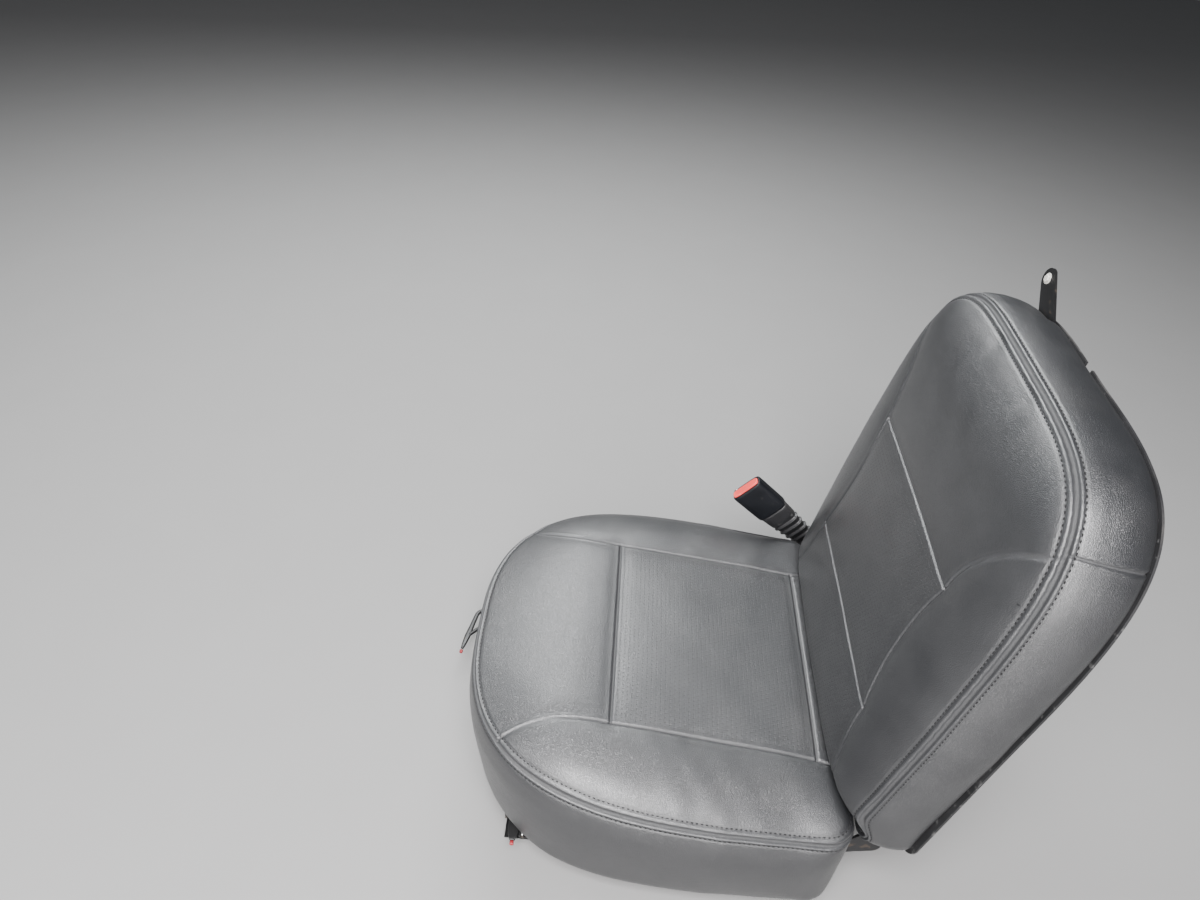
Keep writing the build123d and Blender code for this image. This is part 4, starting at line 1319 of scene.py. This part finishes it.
@dataclass
class Backrest(Cover):
    """The backrest's cover, in its own leaning plane: X across and h up from the cushion."""

    name: str = "backrest_cover"
    node: str = "backrest_pad"
    seed: int = 11
    lean: float = math.radians(10.1)
    foot_y: float = 167.0
    foot_z: float = 186.0
    half_width: float = 227.0
    top_h: float = 471.0
    round_h: float = 171.0
    bottom_h: float = -40.0
    top_power: float = 4.6
    foot_corner: float = 26.0
    foot_taper: float = 6.0
    lower_h: float = 104.0
    upper_h: float = 289.0
    lower_half: float = 147.0
    upper_half: float = 139.0
    waist: float = 12.0
    foot_flare: float = 36.0
    foot_flare_power: float = 1.7
    shoulder_h: float = 408.0
    shoulder_flare: float = 62.0
    seam_depth: float = 25.0
    foot_depth: float = 22.0
    depth: float = 100.0
    crown: float = 7.0
    foot_tuck: float = 46.0
    strap_x: float = -131.0
    ceiling: float = -65.2
    roll_powers: tuple = (2.3, 0.66)
    bows: tuple = (6.0, 5.0)
    boxing_height: float = 75.0
    boxing_runs: tuple = (50.0, 58.0, 64.0)
    hem: tuple = (65.0, 0.86, 0.14)
    hem_turn: tuple = (0.25, 0.5, 0.75, 1.0)
    hem_tuck: tuple = (84.0, 1.0, 9.0)
    hollow: tuple = ((0.89, 0.02), (0.888, 0.35), (0.886, 0.7), (0.884, 1.0))
    seam_ends: tuple = ((186.0, -40.0), (213.0, 416.0))
    boxing_seams: tuple = ((204.0, 414.0), (-204.0, 414.0))
    # share of the depth behind the seam, and the offset
    bulge: tuple = ((0.0, 0.0), (0.03, 1.4), (0.08, 3.2), (0.23, 7.0), (0.47, 9.0), (0.70, 8.2),
                    (0.84, 6.2), (0.93, 3.0), (0.98, -1.0), (1.0, -4.5))

    @cached_property
    def outline(self) -> Outline:
        """Seen from in front: a superellipse above round_h, and a square foot."""
        angle, turn = (np.linspace(0.0, np.pi / 2, count) for count in (700, 60))
        power = 2.0 / self.top_power
        x = self.half_width * np.cos(angle) ** power
        h = self.round_h + (self.top_h - self.round_h) * np.sin(angle) ** power
        corner_x = self.half_width - self.foot_taper - self.foot_corner * (1 - np.sin(turn))
        corner_h = self.bottom_h + self.foot_corner * (1 - np.cos(turn))
        half = np.stack([np.append(corner_x, x), np.append(corner_h, h)], axis=1)
        mirrored = half[::-1] * [-1, 1]
        return Outline(np.concatenate([half, mirrored[1:]]))

    @cached_property
    def rolled_outline(self) -> Outline:
        """The outline with its foot far below, since the foot is tucked in, not rolled."""
        points = self.outline.points
        return Outline(np.where(points[:, 1:] < 60.0, points + [0.0, -110.0], points))

    def keys(self) -> dict[str, tuple[float, float]]:
        """Panel corners on the door side."""
        return {
            "low": (170.0, self.bottom_h), "corner_low": (214.0, self.bottom_h + 8.0),
            "right_low": (226.0, 92.0), "right_high": (226.0, 300.0),
            "corner_high": (221.0, 356.0), "high": (204.0, 414.0),
            "cross_low": (self.lower_half, self.lower_h),
            "cross_high": (self.upper_half, self.upper_h),
        }

    def middle_half(self, t: np.ndarray) -> np.ndarray:
        """Half width between the bolster seams from the lower to the upper cross seam."""
        change = self.upper_half - self.lower_half
        return self.lower_half + change * t - 4.0 * self.waist * t * (1 - t)

    def seam_curve(self, part: int, t: np.ndarray) -> np.ndarray:
        """The bolster seam: bowed inwards at half height, flaring out at both ends."""
        if part == 0:
            foot = self.bottom_h + self.band
            h = foot + (self.lower_h - self.bottom_h - self.band) * t
            x = self.lower_half + self.foot_flare * (1 - t) ** self.foot_flare_power
        elif part == 1:
            h = self.lower_h + (self.upper_h - self.lower_h) * t
            x = self.middle_half(t)
        else:
            h = self.upper_h + (self.shoulder_h - self.upper_h) * t ** 0.9
            x = self.upper_half + self.shoulder_flare * t ** 1.9 + 6.0 * t
        return np.stack([x, h], axis=1)

    def place(self, plan: np.ndarray, depth: float | np.ndarray) -> np.ndarray:
        """Up the leaning plane by h, and out in front of it by the height."""
        sine, cosine = math.sin(self.lean), math.cos(self.lean)
        y = self.foot_y + plan[:, 1] * sine - depth * cosine
        z = self.foot_z + plan[:, 1] * cosine + depth * sine
        return np.column_stack([plan[:, 0], y, z])

    def top_height(self, plan: np.ndarray) -> np.ndarray:
        """The leaning plane, crowned, and tucked in at the foot."""
        x, h = plan.T
        across = np.cos(np.clip(x / 260.0, -1, 1) * np.pi / 2)
        tuck = self.foot_tuck * (1 - smoothstep(-24.0, 12.0, h))
        return self.crown * across * hump(h - 190.0, 130.0) - tuck

    def rim_height(self, plan: np.ndarray) -> np.ndarray:
        """The rim seam lies behind the plane, further back at the foot."""
        foot = 1 - smoothstep(-24.0, 22.0, plan[:, 1])
        return -self.seam_depth - self.foot_depth * foot

    def hem_height(self, plan: np.ndarray) -> np.ndarray:
        """The rear edge is flat, but stays in front of the hoop's legs and of the strap."""
        x, h = plan.T
        legs = (1.0 - smoothstep(-34.0, -22.0, h)) * (1.0 - smoothstep(197.0, 207.0, abs(x)))
        beside = 1.0 - smoothstep(29.0, 36.0, abs(x - self.strap_x))
        strap = beside * smoothstep(380.0, 420.0, h)
        return -self.depth + (self.ceiling + self.depth - 0.5) * legs + 8.5 * strap

    def side_offset(self, plan: np.ndarray, share: float) -> np.ndarray:
        """A bulge that is widest past half the depth, then the turned-in rear edge."""
        table = np.array(self.bulge)
        foot = 1.0 - smoothstep(-38.0, -10.0, plan[:, 1])
        return np.interp(share, table[:, 0], table[:, 1]) * (1.0 - 0.8 * foot)

    def punched(self, plan: np.ndarray) -> np.ndarray:
        """Between the bolster seams, below the upper cross seam."""
        x, h = abs(plan[:, 0]), plan[:, 1]
        t = np.clip((h - self.lower_h) / (self.upper_h - self.lower_h), 0.0, 1.0)
        down = np.clip((self.lower_h - h) / 158.0, 0.0, 1.0)
        foot = self.lower_half + self.foot_flare * down ** self.foot_flare_power
        half = np.where(h > self.lower_h, self.middle_half(t), foot)
        return ((x < half - 4.0) & (h < self.upper_h - 3.0)
                & (abs(h - self.lower_h - 4.0) > 6.0))


def moulded(rows: list[tuple], power: float, count: int = 56) -> tuple[np.ndarray, list]:
    """A closed piece through sections that are superellipses.

    Round a section the sum of the powers of the width's share and of the thickness's
    share is 1.

    Args:
        rows: Place along the piece, half width and half thickness of each section.
        power: The superellipse's power, 2 for an ellipse and more for a squarer shape.
        count: Points round a section.

    Returns:
        Points as along, across and thick, and the faces.
    """
    turn = np.linspace(0.0, 2.0 * np.pi, count, endpoint=False)
    wide, thick = (np.sign(wave) * abs(wave) ** (2.0 / power)
                   for wave in (np.cos(turn), np.sin(turn)))
    along, half_width, half_thickness = (column[:, None] for column in np.array(rows).T)
    rings = np.stack([along + 0.0 * wide, half_width * wide, half_thickness * thick], axis=-1)
    return rings.reshape(-1, 3), capped_faces(len(rows), count)


@dataclass
class Buckle:
    """The belt buckle: ribbed boot, moulded case and red release button, along the stalk."""

    pivot: tuple = (-266.0, 230.0, 124.0)
    angle: float = math.radians(39.6)
    reach: float = 178.0
    case_length: float = 64.0
    boot_start: float = 30.0
    boot_gap: float = 0.4
    ribs: int = 5
    ribbed_share: float = 0.70
    # share of a rib's pitch, and what is added to its half width and half thickness
    rib: tuple = ((0.0, -0.6, -0.6), (0.40, -0.4, -0.4), (0.46, 1.5, 1.4), (0.50, 1.9, 1.8),
                  (0.58, 1.9, 1.8), (0.63, 1.3, 1.2), (0.68, -1.4, -1.4), (0.92, -1.2, -1.2))
    case_front: tuple = ((0.0, 22.4, 8.8), (0.5, 23.4, 9.7), (1.6, 24.0, 10.2),
                         (5.0, 24.5, 10.6), (22.0, 24.8, 10.8))
    case_mouth: tuple = ((-17.0, 25.0, 11.0), (-7.0, 25.0, 11.0), (-4.2, 24.7, 10.8),
                         (-3.3, 24.0, 10.1), (-3.0, 22.9, 9.0))
    button: tuple = ((-4.5, 22.2, 6.4), (-1.0, 22.2, 6.4), (-0.3, 21.9, 6.1), (-0.1, 21.2, 5.4),
                     (-0.35, 20.4, 4.7), (-0.15, 16.0, 3.4), (0.0, 8.0, 1.6))
    # the tongue slot's mouth: a dark plate that stands in for the shade inside the slot
    mouth: tuple = ((-6.0, 16.5, 1.7), (-2.85, 16.5, 1.7), (-2.8, 15.6, 1.1))
    catch: tuple = ((-4.0, 2.6, 0.9), (-2.4, 2.6, 0.9), (-2.2, 2.1, 0.5))

    def place(self, points: np.ndarray) -> np.ndarray:
        """Row-frame points from places along, across and through the stalk.

        Args:
            points: Along the stalk from its pivot, across it and to the seat's outer side.

        Returns:
            The points in millimetres.
        """
        along = np.array([0.0, -math.cos(self.angle), math.sin(self.angle)])
        through = np.array([1.0, 0.0, 0.0])
        return np.array(self.pivot) + points @ np.stack([along, np.cross(through, along), through])

    def add(self, name: str, rows: list[tuple], power: float, finish: Finish, slot: str,
            replaced: str = "", across: float = 0.0, through: float = 0.0) -> None:
        """Adds one moulded piece that swings with the buckle.

        Args:
            name: The object's name.
            rows: Its sections.
            power: How square its sections are.
            finish: Its finish.
            slot: Not used.
            replaced: The CAD node that it takes the place of, if any.
            across: How far the piece lies off the stalk's middle line.
            through: How far it lies to the seat's outer side.
        """
        points, faces = moulded(rows, power)
        placed = self.place(points + [0.0, across, through])
        equip(new_object(name, placed * MM, faces), finish, "buckle", replaced)

    def from_end(self, rows: tuple) -> list[tuple]:
        """Sections whose places are given from the buckle's far end."""
        return [(self.reach + along, *sizes) for along, *sizes in rows]

    def boot_rows(self) -> list[tuple]:
        """A smooth sleeve under the case and ribs with thin rims further down."""
        end = self.reach - self.case_length - self.boot_gap
        ribbed = (end - self.boot_start) * self.ribbed_share
        pitch, top = ribbed / self.ribs, self.boot_start + ribbed
        rows = []
        for n in range(self.ribs):
            wide, thick = 15.5 + 5.0 * n / self.ribs, 6.4 + 2.0 * n / self.ribs
            rows += [(self.boot_start + (n + share) * pitch, wide + wider, thick + thicker)
                     for share, wider, thicker in self.rib]
        return rows + [(top, 20.6, 8.4), (top + 0.8, 21.2, 8.9), (top + 8.0, 21.9, 9.2),
                       (end - 5.0, 22.8, 9.6), (end - 1.2, 23.2, 9.9), (end, 22.6, 9.4)]

    def case_rows(self) -> list[tuple]:
        """A block with softly rounded ends, a little fuller at its mouth."""
        start = self.reach - self.case_length
        return [(start + along, *sizes) for along, *sizes in self.case_front] + self.from_end(
            self.case_mouth)

    def build(self) -> None:
        """Adds the boot, the case, the button, a dark plate on the mouth as painted shade of the
        slot, and its bright catch.
        """
        self.add("buckle_boot_ribs", self.boot_rows(), 3.2, Finish.BOOT, "boot_plastic",
                 "buckle_boot")
        self.add("buckle_case", self.case_rows(), 4.2, Finish.CASE, "buckle_plastic",
                 "buckle_body")
        self.add("buckle_push", self.from_end(self.button), 4.6, Finish.RED, "red_plastic",
                 "buckle_button", through=2.2)
        # dark plate over the mouth: painted shade of the uncut slot
        self.add("buckle_mouth", self.from_end(self.mouth), 6.0, Finish.RUBBER, "buckle_plastic",
                 through=-6.8)
        self.add("buckle_catch", self.from_end(self.catch), 3.0, Finish.CHROME, "zinc_steel",
                 across=19.0, through=-8.6)
        log.info("built the buckle")


def along_path(points: np.ndarray, path: np.ndarray, height: float,
               corner: int = 6) -> np.ndarray:
    """Carries a moulded piece's points along a level path with rounded corners.

    The path is sampled each millimetre and rounded by a running mean. A point goes to the
    path's place at its length, then to the left by its place across and up by the last.

    Args:
        points: Along, across and through the piece, one row each.
        path: The path's corners, one row each.
        height: Height of the path.
        corner: Half the length of the running mean, in millimetres.

    Returns:
        The points in the row frame.
    """
    run = run_of(path)
    even = np.arange(0.0, run[-1] + 1.0, 1.0)
    line = np.pad(read_off(even, run, path), ((corner, corner), (0, 0)), "reflect",
                  reflect_type="odd")
    kernel = np.full(2 * corner + 1, 1.0 / (2 * corner + 1))
    line = np.stack([np.convolve(column, kernel, "valid") for column in line.T], axis=1)
    ahead = unit(np.gradient(line, axis=0))
    place, way = (read_off(points[:, 0], even, values) for values in (line, ahead))
    left = way[:, ::-1] * [-1.0, 1.0]
    return np.column_stack([place + points[:, 1:2] * left, height + points[:, 2]])


@dataclass
class Levers:
    """The two catch levers under the cushion's front, each with a small red end."""

    arm: tuple = ((-120.0, -199.8), (-168.0, -199.8), (-172.0, -262.0), (-157.0, -284.0),
                  (-84.0, -296.0))
    eye: tuple = ((-171.0, -262.0), (-132.0, -273.0), (-112.0, -290.5))
    arm_sizes: tuple = ((0.0, 2.5, 2.5), (120.0, 2.7, 2.4), (165.0, 3.5, 2.3),
                        (185.0, 4.3, 2.2), (200.0, 3.2, 2.1), (209.0, 1.9, 1.9))
    eye_sizes: tuple = ((0.0, 2.4, 2.4), (67.0, 2.6, 2.3))
    arm_end: tuple = (-84.0, -296.0, 30.0)
    blade: tuple = ((140.0, 6.2, 1.2), (140.6, 7.0, 1.5), (178.0, 7.0, 1.5), (186.0, 6.4, 1.5),
                    (192.0, 4.6, 1.5), (195.6, 3.0, 1.4), (196.0, 2.4, 1.1))
    blade_end: tuple = (196.0, -184.0, 33.2)
    red_end: tuple = ((0.3, 1.8, 1.6), (0.8, 2.5, 2.2), (4.2, 2.5, 2.2), (5.0, 2.1, 1.8),
                      (5.3, 1.2, 1.0))
    pin: tuple = ((182.0, 1.0, 1.0), (182.4, 1.6, 1.6), (189.6, 1.6, 1.6), (190.0, 1.0, 1.0))
    pin_place: tuple = (0.0, -172.5, 36.2)

    def add(self, name: str, points: np.ndarray, faces: list, finish: Finish, slot: str,
            replaced: str = "") -> None:
        """Adds one piece that stays with the base, from points in millimetres."""
        equip(new_object(name, points * MM, faces), finish, BASE, replaced)

    def add_straight(self, name: str, rows: tuple, power: float, place: tuple, finish: Finish,
                     slot: str, replaced: str = "") -> None:
        """Adds a moulded piece that runs along X.

        Args:
            name: The object's name.
            rows: Its sections.
            power: How square its sections are.
            place: Where its length starts.
            finish: Its finish.
            slot: Not used.
            replaced: The CAD node that it takes the place of, if any.
        """
        points, faces = moulded(rows, power, 32)
        self.add(name, points + np.array(place), faces, finish, slot, replaced)

    def strand(self, path: tuple, sizes: tuple) -> tuple[np.ndarray, list]:
        """A forged strand along a path, as wide and thick as its table says on the way."""
        table = np.array(sizes)
        stops = np.arange(0.0, table[-1, 0] + 0.1, 2.0)
        rows = np.column_stack([stops, read_off(stops, table[:, 0], table[:, 1:])])
        points, faces = moulded(rows, 2.6, 24)
        return along_path(points, np.array(path), self.arm_end[2]), faces

    def build(self) -> None:
        """Adds the looped lever, the flat one, both red ends and the bright pin."""
        arm, arm_faces = self.strand(self.arm, self.arm_sizes)
        eye, eye_faces = self.strand(self.eye, self.eye_sizes)
        faces = arm_faces + [[corner + len(arm) for corner in face] for face in eye_faces]
        self.add("inner_lever_arm", np.concatenate([arm, eye]), faces, Finish.FRAME_PAINT,
                 "black_steel", "inner_lever")
        self.add_straight("outer_lever_blade", self.blade, 5.0, (0.0, *self.blade_end[1:]),
                          Finish.FRAME_PAINT, "black_steel", "outer_lever")
        self.add_straight("outer_lever_end", self.red_end, 2.6, self.blade_end, Finish.TIP,
                          "red_plastic", "outer_lever_tip")
        self.add_straight("inner_lever_end", self.red_end, 2.2, self.arm_end, Finish.TIP,
                          "red_plastic", "inner_lever_tip")
        self.add_straight("outer_lever_pin", self.pin, 2.0, self.pin_place, Finish.CHROME,
                          "zinc_steel")
        log.info("built the levers")


@dataclass(frozen=True)
class Bolt:
    """A bolt head with a washer: place of its face, way it points, and its measures."""

    name: str
    place: tuple
    way: tuple
    body: str
    finish: Finish
    hex_radius: float = 7.2
    height: float = 4.6
    washer_radius: float = 9.6
    washer: float = 1.4

    def build(self) -> bpy.types.Object:
        """A round washer, then a hexagon with a bevelled upper edge, as one object."""
        way = unit(np.array(self.way, float))
        side = unit(np.cross(way, [0.0, 0.0, 1.0] if abs(way[2]) < 0.9 else [1.0, 0.0, 0.0]))
        other = np.cross(way, side)
        washer, top, radius = self.washer, self.washer + self.height, self.hex_radius
        stacks = (
            (40, ((self.washer_radius, 0.0), (self.washer_radius, washer - 0.3),
                  (self.washer_radius - 0.4, washer))),
            (6, ((radius, washer), (radius, top - 0.9), (0.86 * radius, top))),
        )
        points, faces = [], []
        for count, table in stacks:
            turn = np.linspace(0.0, 2.0 * np.pi, count, endpoint=False)
            flat = np.cos(turn)[:, None] * side + np.sin(turn)[:, None] * other
            faces += capped_faces(len(table), count, sum(len(part) for part in points))
            points += [size * flat + height * way for size, height in table]
        placed = np.concatenate(points) + np.array(self.place)
        obj = new_object(self.name, placed * MM, faces, smooth=False)
        return equip(obj, self.finish, self.body)


def fixing_bolts() -> list[Bolt]:
    """The wall bolt at the strap's hole and the four floor bolts in the rails' feet."""
    back = Backrest()
    wall = back.place(np.array([[-166.0, 494.0]]), -93.3)[0]
    way = (0.0, -math.cos(back.lean), math.sin(back.lean))
    bolts = [Bolt("wall_bolt", tuple(wall), way, SEAT, Finish.WALL_BOLT, hex_radius=4.6,
                  height=1.8, washer_radius=6.2, washer=0.9)]
    feet = [(x, y, 2.0) for y in (-170.0, 170.0) for x in (-150.0, 150.0)]
    return bolts + [Bolt(f"floor_bolt_{n}", foot, (0.0, 0.0, 1.0), BASE, Finish.ZINC)
                    for n, foot in enumerate(feet)]


@dataclass
class Frame:
    """The carried-over steel and moulded nodes and their finishes."""

    finishes: dict = field(default_factory=lambda: {
        Finish.FRAME_PAINT: (
            "floor_rail_outer", "floor_rail_inner", "front_bar", "rear_bar", "hinge_ears",
            "cushion_frame", "rear_tube", "side_plate_outer", "side_plate_inner",
            "backrest_hoop", "wall_strap", "buckle_bracket", "outer_lever_bracket"),
        Finish.ZINC: ("hinge_pins", "side_bolts", "buckle_anchor_bolt", "buckle_stalk"),
        Finish.SPRING: ("cushion_springs",),
        Finish.RUBBER: ("rear_rests",),
        Finish.BACK_BOARD: ("back_panel",),
    })

    def dress(self) -> None:
        """Gives every carried-over node its finish."""
        for finish, names in self.finishes.items():
            for name in names:
                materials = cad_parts[name].data.materials
                materials.clear()
                materials.append(MATERIALS[finish])
        log.info("dressed the carried-over nodes")


@dataclass(frozen=True)
class Lamp:
    """A soft rectangular light: where it stands, where it looks, power, size and colour."""

    name: str
    place: tuple
    target: tuple
    power: float
    size: tuple
    color: tuple


@dataclass
class Studio:
    """A pale floor, soft lights and a camera at the photograph's angle."""

    floor_radius: float = 7.0
    floor_corners: int = 96
    floor_color: tuple = (0.20, 0.1985, 0.196, 1.0)
    floor_shade: float = 0.95
    sky_color: tuple = (0.88, 0.93, 1.0, 1.0)
    sky_strength: float = 0.12
    camera_place: tuple = (0.75146, -0.12325, 1.08390)
    camera_right: tuple = (-0.06017, 0.99533, 0.07544)
    camera_ahead: tuple = (-0.78425, -0.00038, -0.62045)
    lens: float = 27.04
    sensor: float = 36.0
    lamps: tuple = (
        Lamp("far_window", (-1.42, -0.46, 1.90), (0.0, -0.12, 0.2), 112.0, (1.6, 0.9),
             (0.97, 0.99, 1.0)),
        Lamp("door_sky", (1.9, -0.55, 1.30), (0.1, -0.25, 0.1), 80.0, (1.4, 1.2),
             (1.0, 0.985, 0.99)),
        Lamp("door_low", (1.75, 0.0, 0.42), (0.2, -0.05, 0.15), 42.0, (1.5, 0.5),
             (1.0, 0.985, 0.98)),
        Lamp("roof_light", (1.12, -0.20, 1.95), (0.1, -0.10, 0.2), 138.0, (1.1, 0.7),
             (1.0, 0.99, 1.0)),
        Lamp("windscreen", (-0.2, -1.9, 1.6), (0.0, 0.1, 0.3), 10.0, (2.0, 0.9),
             (0.95, 0.98, 1.0)),
    )

    def build(self) -> None:
        """Adds the floor, the sky, the lamps and the camera."""
        self.add_floor()
        self.add_sky()
        for lamp in self.lamps:
            self.add_lamp(lamp)
        self.add_camera()

    def add_floor(self) -> None:
        """A wide disc at the height that the rails stand on."""
        turn = np.linspace(0.0, 2.0 * np.pi, self.floor_corners, endpoint=False)
        rim = self.floor_radius * np.stack([np.cos(turn), np.sin(turn), 0.0 * turn], axis=1)
        floor = new_object("studio_floor", rim, [list(range(self.floor_corners))], smooth=False)
        material, nodes, shader = new_material("StudioFloor")
        noise = nodes.noise(nodes.object_place(), 9.0, 4.0).outputs[0]
        darker = tuple(self.floor_shade * c for c in self.floor_color[:3]) + (1.0,)
        nodes.put(shader, "Base Color", nodes.mix(noise, darker, self.floor_color))
        shader.inputs["Roughness"].default_value = 0.85
        floor.data.materials.append(material)

    def add_sky(self) -> None:
        """Dim light of one colour from all round."""
        world = bpy.data.worlds.new("Sky")
        world.use_nodes = True
        back = world.node_tree.nodes["Background"].inputs
        back[0].default_value, back[1].default_value = self.sky_color, self.sky_strength
        bpy.context.scene.world = world

    def add_lamp(self, lamp: Lamp) -> None:
        """One soft light, turned to its target."""
        data = bpy.data.lights.new(lamp.name, "AREA")
        data.shape = "RECTANGLE"
        data.size, data.size_y = lamp.size
        data.energy, data.color = lamp.power, lamp.color
        place = np.array(lamp.place)
        self.add_facing(lamp.name, data, place, np.array(lamp.target) - place)

    def add_camera(self) -> None:
        """The camera, from its place, its line of sight and its right-hand side."""
        data = bpy.data.cameras.new("camera")
        data.lens, data.sensor_width = self.lens, self.sensor
        bpy.context.scene.camera = self.add_facing(
            "camera", data, np.array(self.camera_place), np.array(self.camera_ahead),
            np.array(self.camera_right))

    @staticmethod
    def add_facing(name: str, data: bpy.types.ID, place: np.ndarray, ahead: np.ndarray,
                   right: np.ndarray | None = None) -> bpy.types.Object:
        """Adds a light or a camera at a place, looking ahead.

        Args:
            name: The object's name.
            data: The light's or the camera's data.
            place: Where it stands.
            ahead: Its line of sight.
            right: Its right-hand side, level where none is given.

        Returns:
            The new object.
        """
        back = unit(-ahead)
        up = unit(np.cross(back, np.cross([0.0, 0.0, 1.0], back) if right is None else right))
        turn = np.eye(4)
        turn[:3] = np.column_stack([np.cross(up, back), up, back, place])
        obj = bpy.data.objects.new(name, data)
        obj.matrix_world = turn.T.tolist()  # Blender reads a plain list by columns
        bpy.context.scene.collection.objects.link(obj)
        return obj


def main() -> None:
    """Builds and dresses every piece, and logs each as it is built."""
    logging.basicConfig(level=logging.INFO, format="%(message)s")
    Frame().dress()
    for part in (Cushion(), Backrest(), Buckle(), Levers(), *fixing_bolts(), Studio()):
        part.build()
        log.info("built: %s", type(part).__name__)


if __name__ == "__main__":
    main()
